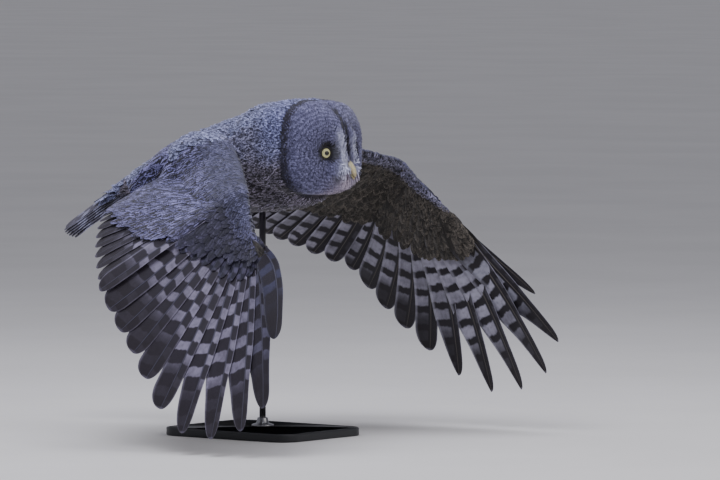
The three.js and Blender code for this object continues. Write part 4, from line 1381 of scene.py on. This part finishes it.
def vane_arrays(feather, chance, strip, strips):
    """The points of one vane and what is stored for each, with its strip of the bake map."""
    grid, across, share = vane_points(feather, chance)
    along = FLIGHT_STATIONS[:, None]
    upper = np.array([1, 0])[:, None, None]

    def each(*values):
        """A row of numbers for each point, from values that fit the grid's faces and rows."""
        return np.stack([np.broadcast_to(v, grid.shape[:3]).ravel() for v in values], -1)

    breadth = (across - across.min()) / (across.max() - across.min()) * 0.46 + (1 - upper) * 0.5
    span = feather["span"]
    return {
        "points": grid.reshape(-1, 3),
        "vane": each(across, along * span, span - along * span),
        "who": each(chance, upper, share),
        "uv": each((breadth + 0.02 + strip) / strips, 0.005 + 0.99 * along),
        "clear_tip": each(np.where(upper, *feather["clear_tip"]))[:, 0],
        "tones": np.tile(feather["tones"], (grid[..., 0].size, 1, 1)),
    }


def make_vanes(name, feathers, mirror, material, random):
    """One object from closed vanes.

    Each feather gives its frame and widths as functions, its span, camber, half the width of its
    shaft, tones, and how far its tip is clear of marks on the upper and the under side."""
    count = len(feathers)
    parts = [vane_arrays(feather, random.random(), n, count) for n, feather in enumerate(feathers)]
    whole = {key: np.concatenate([part[key] for part in parts]) for key in parts[0]}
    faces = closed_leaf_faces(len(FLIGHT_STATIONS), 2 * len(FLIGHT_SHARES) + 3)
    if mirror[1] < 0:
        faces = faces[:, ::-1]
    starts = np.arange(count)[:, None, None] * len(parts[0]["points"])
    made = new_object(name, whole["points"] * mirror, (faces + starts).reshape(-1, 4))
    give(made, vane=whole["vane"], who=whole["who"], clear_tip=whole["clear_tip"])
    give_tones(made, whole["tones"])
    give_uv(made, whole["uv"])
    return finished(made, material, "flight_feathers")


def remex(feather):
    """A flight feather of the wing."""
    index = feather["index"]
    return {
        "frame": lambda t: shaft_frame(feather, t),
        "widths": lambda t: flight_widths(feather, t),
        "span": feather["length"], "camber": 1.2, "rachis": 1.4,
        "tones": lerp(REMEX, FINGER, smooth(index, 21, 24)),
        "clear_tip": (lerp(58, 102, smooth(index, 8, 16)), lerp(14, 100, smooth(index, 12, 20))),
    }


def covert_over(feather, start, end, half, rises, tones):
    """A large covert that lies over, or for negative rises under, its flight feather."""

    def frame(t):
        return shaft_frame(feather, lerp(start, end, t), lerp(*rises, np.sqrt(t)))

    def widths(t):
        width = half * lerp(0.25, 1, smooth(t, 0, 0.45)) * feather_end(t, 0.3, 2.2)
        return width * min(0.85, 0.8 * feather["before"] / half), width * 1.15

    return {"frame": frame, "widths": widths, "span": feather["length"] * (end - start),
            "camber": 0.8, "rachis": 0.7, "tones": tones, "clear_tip": (4, 4)}


# How far down its flight feather each greater covert reaches, by the feather's number.
COVERT_ENDS = ([0, 4, 12, 14, 15, 18, 20, 24], [0.84, 0.74, 0.56, 0.52, 0.48, 0.36, 0.3, 0.2])
COVERT_START = 0.07
COVERT_HALF, LOBE_COVERT_HALF = 14, 15
OVER_RISES, UNDER_RISES = (2.8, 2.2), (-2.8, -2.4)  # above the flight feather, at root and tip


def make_wing(name, wing, flights, coverts):
    """The flight feathers of a wing with the greater coverts on both of their sides."""
    random = np.random.default_rng(FLIGHT_SEEDS[name])
    row, mirror = wing["row"], wing["mirror"]
    make_vanes(f"flight_{name}", [remex(feather) for feather in row], mirror, flights, random)
    over, under = [], []
    for feather in row:
        index = feather["index"]
        end = np.interp(index, *COVERT_ENDS)
        core_end = np.interp(index, SECTION_INDEX, SECTION_REACH) / feather["length"]
        under_end = max(end * 0.88, core_end + 0.12)
        lobe = smooth(index, 13, 16)
        half = lerp(COVERT_HALF, LOBE_COVERT_HALF, lobe)
        tones = lerp(MANTLE, LOBE, lobe)
        over.append(covert_over(feather, COVERT_START, end, half, OVER_RISES, tones))
        # The under greater coverts take the underwing tone, painted dark as shade.
        under.append(covert_over(feather, core_end, under_end, half, UNDER_RISES, UNDERWING_IN_SHADE))
    make_vanes(f"greater_coverts_{name}_upper", over, mirror, coverts, random)
    make_vanes(f"greater_coverts_{name}_under", under, mirror, coverts, random)


# The sides of a wing's coat: which way is out, how far out the coat's bed lies past the core, where
# over the core it settles there, how much further it lies over the flight feathers, how far apart
# its feathers stand, half their width on the outer and the inner wing, their bars and streak, and
# how far past the core they go on, by the number of the flight feather.
WING_SIDES = {
    "upper": {
        "face": 1, "rest": 4.8, "settle": (0.55, 0.95), "lift": 1.25, "spacing": 9.6,
        "half": (8.4, 7.4), "marks": (1.2, 0.95),
        "cover": ([-2, 3, 6, 9, 12, 14, 16, 18, 21, 24], [112, 104, 104, 104, 96, 74, 50, 30, 14, 6]),
    },
    "under": {
        "face": -1, "rest": -5.0, "settle": (0.06, 0.35), "lift": 1.6, "spacing": 11,
        "half": (9.5, 9.5), "marks": (1.4, 0.5),
        "cover": ([-2, 3, 8, 12, 15, 20, 24], [30, 36, 60, 88, 92, 80, 40]),
    },
}
COVERT_TIERS = np.concatenate([np.arange(-2, 62, 5.2), np.arange(62, 310, 10.5)])
# Small coverts along the leading edge, then the length of the last on the outer and inner wing.
FIRST_SPACING, FIRST_LENGTH, FIRST_HALF = 5.2, 15, 4.2
LAST_LENGTHS = (34, 52)
BAKE_MARGIN = 5  # tiers start a little ahead of the leading edge


class WingSurface:
    """Places on the upper or under side of a wing's coat, by feather number and depth.

    Depth is the way from the leading edge, over the core and then along the flight feathers."""

    INDEX = np.linspace(-2.5, 24, 107)
    DEPTH = np.linspace(0, 330, 133)

    def __init__(self, wing, side):
        self.mirror = wing["mirror"]
        face, rest = side["face"], side["rest"]
        section = np.interp(self.INDEX, SECTION_INDEX, np.arange(len(SECTION_INDEX)))
        lead, trail, thickness, up = section_parts(wing["table"], section / (len(SECTION_INDEX) - 1))
        self.chord_length = np.linalg.norm(trail - lead, axis=1)
        self.grid = np.empty((len(self.INDEX), len(self.DEPTH), 3))
        for i, index in enumerate(self.INDEX):
            chord = self.DEPTH / self.chord_length[i]
            over = chord <= 1
            on_core = np.minimum(chord, 1)
            height = foil_height(on_core, thickness[i], face)
            height = face * np.maximum(face * height, face * rest * smooth(chord, *side["settle"]))
            core = lead[i] + (trail[i] - lead[i]) * column(on_core) + up[i] * column(height)
            past = np.maximum(0, self.DEPTH - self.chord_length[i])
            beyond = self.past_core(wing["row"], index, past, rest, side["lift"])
            last = int(over.sum()) - 1
            fade = 1 - smooth(past, 0, 200 if index < 0 else 60)
            jump = (core[last] - beyond[last]) * column(fade)
            self.grid[i] = np.where(over[:, None], core, beyond + jump)
        across, down = np.gradient(self.grid, axis=(0, 1))
        self.up = unit(np.cross(across, down)) * face

    def past_core(self, row, index, past, rest, lift):
        """Places past the core, between the two flight feathers nearest to the index."""
        inner = int(np.clip(np.floor(index), 0, len(row) - 2))
        inward = np.array([0.0, -1.0, 0.0]) * max(0, -index) * 12
        core_reach = np.interp(index, SECTION_INDEX, SECTION_REACH)
        rise = rest * lerp(1.0, lift, smooth(past, 0, 60))
        ends = []
        for feather in row[inner:inner + 2]:
            t = np.minimum(1, (core_reach + past) / feather["length"])
            ends.append(shaft_frame(feather, t, rise)[0] + inward)
        return lerp(*ends, float(np.clip(index - inner, 0, 1)))

    def at(self, index, depth):
        """Places at feather numbers and depths, and the way out of the coat there."""
        index_step, depth_step = self.INDEX[1] - self.INDEX[0], self.DEPTH[1] - self.DEPTH[0]
        i = np.clip((index - self.INDEX[0]) / index_step, 0, len(self.INDEX) - 1.001)
        d = np.clip(depth / depth_step, 0, len(self.DEPTH) - 1.001)
        i0, d0 = i.astype(int), d.astype(int)
        wi, wd = column(i - i0), column(d - d0)

        def between(grid):
            near = lerp(grid[i0, d0], grid[i0, d0 + 1], wd)
            far = lerp(grid[i0 + 1, d0], grid[i0 + 1, d0 + 1], wd)
            return lerp(near, far, wi)

        return between(self.grid), unit(between(self.up))


def covert_tones(index, depth, limit, face):
    """Tones and contrast of the small coverts by their place on the wing."""
    if face < 0:
        # On the under side the coverts start from the underwing tone, which is painted shade.
        spots = smooth(index, 4, 8) * (1 - smooth(depth, 5, 17))
        return mixed(UNDERWING_IN_SHADE, FRONT_EDGE, spots), lerp(0.75, 1.0, spots)
    lesser = 1 - smooth(depth, 34, 60)
    lobe = smooth(index, 12, 15) * smooth(depth, 20, 40)
    last = smooth(depth, limit - 75, limit) * (1 - lobe)
    tones = mixed(mixed(MANTLE, LESSER, lesser), LOBE, lobe)
    return mixed(tones, LAST_TIER, last), lerp(lerp(1.8, 1.0, lesser), 0.7, lobe)


def covert_places(surface, side, random):
    """Feather number, depth and the depth where the coat ends, for each small covert."""
    found = []
    for n, tier in enumerate(COVERT_TIERS):
        spacing = lerp(FIRST_SPACING, side["spacing"], smooth(tier, 0, 80))
        line = surface.grid[:, int(np.clip(tier / surface.DEPTH[1], 0, len(surface.DEPTH) - 1))]
        steps = lengths_along(line)
        places = np.arange((n % 2) * spacing / 2, steps[-1], spacing)
        places = places + random.normal(0, spacing * 0.15, len(places))
        index = np.interp(places, steps, surface.INDEX)
        end = np.interp(index, surface.INDEX, surface.chord_length) + np.interp(index, *side["cover"])
        depth = tier + random.normal(0, 2.0, len(index))
        found.append(np.stack([index, depth, end])[:, tier < end])
    return np.concatenate(found, 1)


def make_wing_coat(name, wing, side_name, material):
    """Lesser and median coverts and scapulars in tiers over one side of a wing."""
    side = WING_SIDES[side_name]
    random = np.random.default_rng(COVERT_SEEDS[name][side_name])
    surface = WingSurface(wing, side)
    index, depth, limit = covert_places(surface, side, random)
    count = len(index)
    grow, inner = smooth(depth, 0, 110), 1 - smooth(index, 4, 13)
    scale = random.uniform(0.82, 1.18, count)
    length = lerp(FIRST_LENGTH, lerp(*LAST_LENGTHS, inner), grow) * scale
    half = lerp(FIRST_HALF, lerp(*side["half"], inner), grow) * scale
    reach = depth[:, None] + length[:, None] * LEAF_ROWS
    slant = random.normal(0, 0.08, (count, 1)) * LEAF_ROWS
    spine, up = surface.at(index[:, None] + slant, np.maximum(0, reach))
    rise = lerp(-1.2, 1.6, LEAF_ROWS) + random.uniform(-0.7, 0.7, (count, 1)) * LEAF_ROWS
    points = leaves(spine + up * column(rise), up, half) * surface.mirror
    tones, contrast = covert_tones(index, depth, limit, side["face"])
    tones = shaded(tones, random.uniform(0.5, 1.3, count))
    bars, streak = side["marks"]
    marks = np.stack([np.full(count, bars), np.full(count, streak), contrast], -1)
    inner_end, outer_end, last_depth = surface.INDEX[0], surface.INDEX[-1], surface.DEPTH[-1]
    across = (index - inner_end) / (outer_end - inner_end)
    down = np.clip((depth + BAKE_MARGIN) / (last_depth + BAKE_MARGIN), 0, 1)
    uv = in_margins(np.stack([across, down], -1))
    leaf_object(f"coverts_{name}_{side_name}", points, tones, marks, uv, random, material)


# Tail

TAIL_SLOPE, TAIL_ROLL = radians(28), radians(34)
TAIL_TIP = np.array([-452.0, 0, -137])
TAIL_LONGEST, TAIL_SHORTEST, TAIL_PAIRS = 290, 258, 6
TAIL_ROOT_SPACING, TAIL_TIP_SPACING, TAIL_LAYER = 3.6, 6.6, 1.2
TAIL_LEAD, TAIL_TRAIL = 13, 17
TAIL_ARCH, TAIL_END = 12, 0.1


def tail_axes():
    way = np.array([-np.cos(TAIL_SLOPE), 0, -np.sin(TAIL_SLOPE)])
    level_up = np.array([-np.sin(TAIL_SLOPE), 0, np.cos(TAIL_SLOPE)])
    up = turned(level_up, way, np.array(-TAIL_ROLL))
    return way, up, np.cross(way, up)


def make_tail(material):
    random = np.random.default_rng(TAIL_SEED)
    way, up, left = tail_axes()
    start = TAIL_TIP - way * TAIL_LONGEST

    def widths(t):
        shape = from_quill(t) * feather_end(t, TAIL_END)
        return TAIL_LEAD * shape, TAIL_TRAIL * shape

    def tail_feather(k, side):
        layer = (2 * k + (0 if side > 0 else 1)) * TAIL_LAYER
        length = lerp(TAIL_LONGEST, TAIL_SHORTEST, (k / (TAIL_PAIRS - 1)) ** 1.5)

        def frame(t):
            on_axis = start + way * column(t * length) + up * column(TAIL_ARCH * t * (1 - t) - layer)
            across = side * (lerp(2, 5, t) + lerp(TAIL_ROOT_SPACING, TAIL_TIP_SPACING, t) * k)
            ones = np.ones((len(t), 1))
            return on_axis + left * column(across), left * side * ones, up * ones, 0 * t

        return {"frame": frame, "widths": widths, "span": length, "camber": 0.6, "rachis": 1.4,
                "tones": TAIL, "clear_tip": (30, 30)}

    feathers = [tail_feather(k, side) for k in range(TAIL_PAIRS) for side in (1, -1)]
    make_vanes("tail_feathers", feathers, np.ones(3), material, random)


# Eyes, bill and claws

LID_RADIUS, LID_THICKNESS, LID_AHEAD = 10.2, 2.1, 5.4
LID_TURNS, LID_SIDES = 64, 14
EYE_TURN = radians(24)
PUPIL_EDGE, IRIS_EDGE = (3.9, 4.2), (7.6, 8.2)
# Length, drop, height, half the width and hook of the upper half of the bill, then of the lower.
BILL_UPPER = (31, 27, 15, 8.6, 78)
BILL_LOWER = (33, 20, 9, 6, 60)
BILL_LOWER_ROOT = BILL_ROOT + (-4, 0, -11)
BILL_STEPS, BILL_SIDES = 28, 28
CLAW_LENGTH, CLAW_ROOT, CLAW_TIP = 21, 3.8, 0.35


def revolved(profile, sides):
    """Rings about +X from (x, radius) pairs."""
    angle = np.linspace(0, 2 * pi, sides, endpoint=False)
    profile = np.array(profile, float)
    rings = np.empty((len(profile), sides, 3))
    rings[..., 0] = profile[:, 0:1]
    rings[..., 1] = profile[:, 1:2] * np.cos(angle)
    rings[..., 2] = profile[:, 1:2] * np.sin(angle)
    return rings


def at_eye(points, side):
    """Points about the eye's own axis, moved to where the eye of that side looks out."""
    c, s = np.cos(side * EYE_TURN), np.sin(side * EYE_TURN)
    turn = np.array([[c, s, 0], [-s, c, 0], [0, 0, 1]])
    return points @ turn + EYE_PLACE * (1, side, 1)


def eye_finish():
    """A pale yellow iris with fine streaks round a black pupil, under a wet gloss."""
    finish = Finish("eye", roughness=0.14, specular=0.4, coat=0.5, coat_roughness=0.02)
    reach = finish.stored_number("iris")
    turn = finish.stored("around")
    around = finish.vector(turn.axis("X") * 3.0, turn.axis("Y") * 3.0, reach * 0.25)
    streaks = finish.noise(around, 3.0, 3.0, 0.5)
    yellow = finish.blend(streaks.step(0.3, 0.7), *IRIS_TONES)
    iris = finish.blend(reach.step(*IRIS_EDGE), yellow, IRIS_RIM)
    finish.colour(finish.blend(reach.step(*PUPIL_EDGE), PUPIL, iris))
    return finish.material


def make_eyes(material, lid_material):
    angle = np.linspace(0.02, pi - 0.02, 40)
    profile = [(EYE_RADIUS * np.cos(a), EYE_RADIUS * np.sin(a)) for a in angle]
    points, faces = closed_rings(revolved(profile, 48))
    radius = np.hypot(points[:, 1], points[:, 2])
    around = np.stack([points[:, 1], points[:, 2], 0 * radius], -1) / np.maximum(radius, 0.1)[:, None]
    turn = np.linspace(0, 2 * pi, LID_TURNS, endpoint=False)[:, None]
    tube = np.linspace(0, 2 * pi, LID_SIDES, endpoint=False)
    reach = LID_RADIUS + LID_THICKNESS * np.cos(tube)
    ahead = LID_AHEAD + LID_THICKNESS * np.sin(tube)
    lid_points = np.stack([ahead + 0 * turn, reach * np.cos(turn), reach * np.sin(turn)], -1)
    lid_points = lid_points.reshape(-1, 3)
    lid_faces = grid_faces(LID_TURNS + 1, LID_SIDES, ring=True) % len(lid_points)
    for side, name in ((1, "left"), (-1, "right")):
        made = new_object(f"eyeball_{name}", at_eye(points, side), faces)
        give(made, iris=np.where(points[:, 0] > 0, radius, EYE_RADIUS), around=around)
        finished(made, material, "eye", f"eye_{name}")
        lid = new_object(f"lids_{name}", at_eye(lid_points, side), lid_faces)
        finished(lid, lid_material, "plumage")


def bill_rings(root, length, drop, height, half, hook):
    """Rings of half a bill along a curve that hooks down."""
    t = np.linspace(0, 1, BILL_STEPS + 1)[:, None]
    turn = t * radians(hook)
    x = root[0] + length * np.sin(turn) / np.sin(radians(hook))
    z = root[2] - drop * t**1.7
    size = np.maximum(0.06, np.sqrt(1 - t**1.6))
    lean = -turn * 0.8
    angle = 2 * pi * (np.arange(BILL_SIDES) + 0.5) / BILL_SIDES
    up = height / 2 * size * np.cos(angle)
    return np.stack([x - up * np.sin(lean), half * size * np.sin(angle), z + up * np.cos(lean)], -1)


def make_bill(material):
    for name, root, sizes in (("upper", BILL_ROOT, BILL_UPPER), ("lower", BILL_LOWER_ROOT, BILL_LOWER)):
        rings = bill_rings(root, *sizes)
        made = ring_object(f"bill_{name}_horn", rings)
        give(made, down=np.repeat(np.linspace(0, 1, len(rings)), rings.shape[1]))
        finished(made, material, "bill_horn", f"bill_{name}")


def claw_rings(start, end):
    """A claw that leaves its toe straight ahead and curves down."""
    toe = toe_knots(start, end)
    way = unit(spline(toe, [1.0])[0] - spline(toe, [0.96])[0])
    root = toe[-1] + way * 0.3
    middle = root + way * CLAW_LENGTH * 0.5 + (0, 0, -1)
    tip = root + way * CLAW_LENGTH * 0.7 + (0, 0, -11)
    return limb_rings([root, middle, tip], lambda t: lerp(CLAW_ROOT, CLAW_TIP, t**1.2), sides=16, steps=20)


def make_claws(material):
    for side, name in ((1, "left"), (-1, "right")):
        for n, (start, end, _) in enumerate(TOES, 1):
            made = ring_object(f"claw_{name}_{n}_horn", claw_rings(start, end) * (1, side, 1))
            finished(made, material, "claw_horn", f"claw_{name}_{n}")


# Stand, floor and light

BOARD_CORNER, BOARD_BEVEL = 34, 2.5
ROD_RADIUS = 5.5
FLOOR_HALF = 90  # metres


def slab_rings(low, high, corner, bevel):
    """A slab with round corners and a rounded rim."""
    half, centre = (high - low) / 2, (high + low) / 2
    turn = np.linspace(0, 2 * pi, 120, endpoint=False)
    outward = np.stack([np.cos(turn), np.sin(turn)], -1)
    bend = np.linspace(0, pi / 2, 7)
    insets = np.concatenate([bevel * (1 - np.sin(bend)), bevel * (1 - np.cos(bend))])
    below, above = low[2] + bevel * (1 - np.cos(bend)), high[2] - bevel * (1 - np.sin(bend))
    rings = []
    for inset, z in zip(insets, np.concatenate([below, above])):
        xy = centre[:2] + np.sign(outward) * (half[:2] - corner) + (corner - inset) * outward
        rings.append(np.column_stack([xy, np.full(len(turn), z)]))
    return np.array(rings)


def node_box(name):
    low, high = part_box(name)
    return np.array(low) / MM - OWL_ORIGIN, np.array(high) / MM - OWL_ORIGIN


def upright(profile, sides, low, high):
    """Rings of a turned piece that stands in the middle of a box."""
    centre = (low + high) / 2
    return revolved(profile, sides)[..., [1, 2, 0]] + (centre[0], centre[1], low[2])


def make_stand(paint, metal):
    board = slab_rings(*node_box("stand_base"), BOARD_CORNER, BOARD_BEVEL)
    finished(ring_object("base_board", board), paint, "stand_paint", "stand_base")
    low, high = node_box("stand_collar")
    radius, height = (high[0] - low[0]) / 2, high[2] - low[2]
    profile = [(0, 0.1), (0, radius), (3, radius), (4, radius - 0.4), (5, radius - 2), (5.6, 14),
               (6.4, 12), (8, 10.6), (height - 1, 9), (height, 8.4), (height, 0.1)]
    collar = upright(profile, 64, low, high)
    finished(ring_object("rod_collar", collar), metal, "stand_metal", "stand_collar")
    low, high = node_box("stand_rod")
    length = high[2] - low[2]
    profile = [(0, 0.1), (0, ROD_RADIUS - 0.3), (0.4, ROD_RADIUS), (length, ROD_RADIUS), (length, 0.1)]
    finished(ring_object("rod_bar", upright(profile, 40, low, high)), metal, "stand_metal", "stand_rod")


def make_floor():
    """A plain pale floor, wide enough that the camera sees nothing past it."""
    ends = (-FLOOR_HALF, FLOOR_HALF)
    corners = np.array([[x, y, 0] for y in ends for x in ends])
    made = new_object("floor", corners / MM - OWL_ORIGIN, grid_faces(2, 2)[:, ::-1])
    finish = Finish("floor", roughness=0.85, specular=0.2)
    worn = finish.noise(finish.place(), 1.4, 5.0, 0.6)
    finish.colour(finish.blend(worn.step(0.3, 0.7), *FLOOR_TONES))
    made.data.materials.append(finish.material)


AIM = Vector((0, 0, 0.4))
# Place in metres to the right, toward the camera and up, size in metres, power and colour.
LIGHTS = {
    "key": ((-0.8, 1.4, 3.0), 1.8, 62, (0.89, 0.9, 1.0)),
    "top": ((0.2, -0.5, 3.4), 2.2, 48, (0.87, 0.88, 1.0)),
    "fill": ((2.4, 1.6, 1.6), 1.8, 16, (1.0, 0.96, 0.9)),
}
ROOM_COLOUR, ROOM_STRENGTH = (0.87, 0.88, 1.0), 0.4


def make_light():
    for name, ((right, near, up), size, power, colour) in LIGHTS.items():
        data = bpy.data.lights.new(name, "AREA")
        data.shape = "DISK"
        data.size = size
        data.energy = power
        data.color = colour
        lamp = bpy.data.objects.new(name, data)
        place = Vector(RIGHTWARD) * right + Vector(NEARWARD) * near + Vector((0, 0, up))
        turn = (place - AIM).to_track_quat("Z", "Y").to_matrix().to_4x4()
        lamp.matrix_world = Matrix.Translation(place) @ turn
        bpy.context.scene.collection.objects.link(lamp)
    world = bpy.data.worlds.new("room")
    world.use_nodes = True
    background = world.node_tree.nodes["Background"]
    background.inputs["Color"].default_value = (*ROOM_COLOUR, 1)
    background.inputs["Strength"].default_value = ROOM_STRENGTH
    bpy.context.scene.world = world


# The model

small_feathers = plumage_finish("small feathers")
flights = flight_finish("flight feathers", UPPER_BARS, UNDER_BARS, rims=0.8)
large_coverts = flight_finish("greater coverts", COVERT_UPPER_BARS, COVERT_UNDER_BARS, rims=0.3)
lids = streaked_finish("lids", LID_TONES, scale=500.0, stretch=(1, 1, 1), bump=0.5, roughness=0.6)
claw_horn = streaked_finish("claw horn", CLAW_TONES, scale=300.0, stretch=(0.5, 2, 2), bump=0.2,
                            roughness=0.34, specular=0.5)
metal = streaked_finish("brushed metal", METAL_TONES, scale=500.0, stretch=(2, 2, 0.04), bump=0.15,
                        roughness=0.32, metallic=1.0)

skin_object, skin = make_skin()
finished(skin_object, skin_finish(), "plumage", "head", "neck", "torso", "tail",
         "wing_left_arm", "wing_left_hand", "wing_right_arm", "wing_right_hand",
         "leg_left", "leg_right", "foot_left", "foot_right")
make_body_coat(skin, small_feathers)
make_face_coat(skin, face_finish())
for wing_name, wing in WINGS.items():
    make_wing(wing_name, wing, flights, large_coverts)
    make_wing_coat(wing_name, wing, "upper", small_feathers)
    make_wing_coat(wing_name, wing, "under", small_feathers)
make_tail(flights)
make_eyes(eye_finish(), lids)
make_bill(bill_finish())
make_claws(claw_horn)
make_stand(painted_finish(), metal)
make_floor()
make_light()
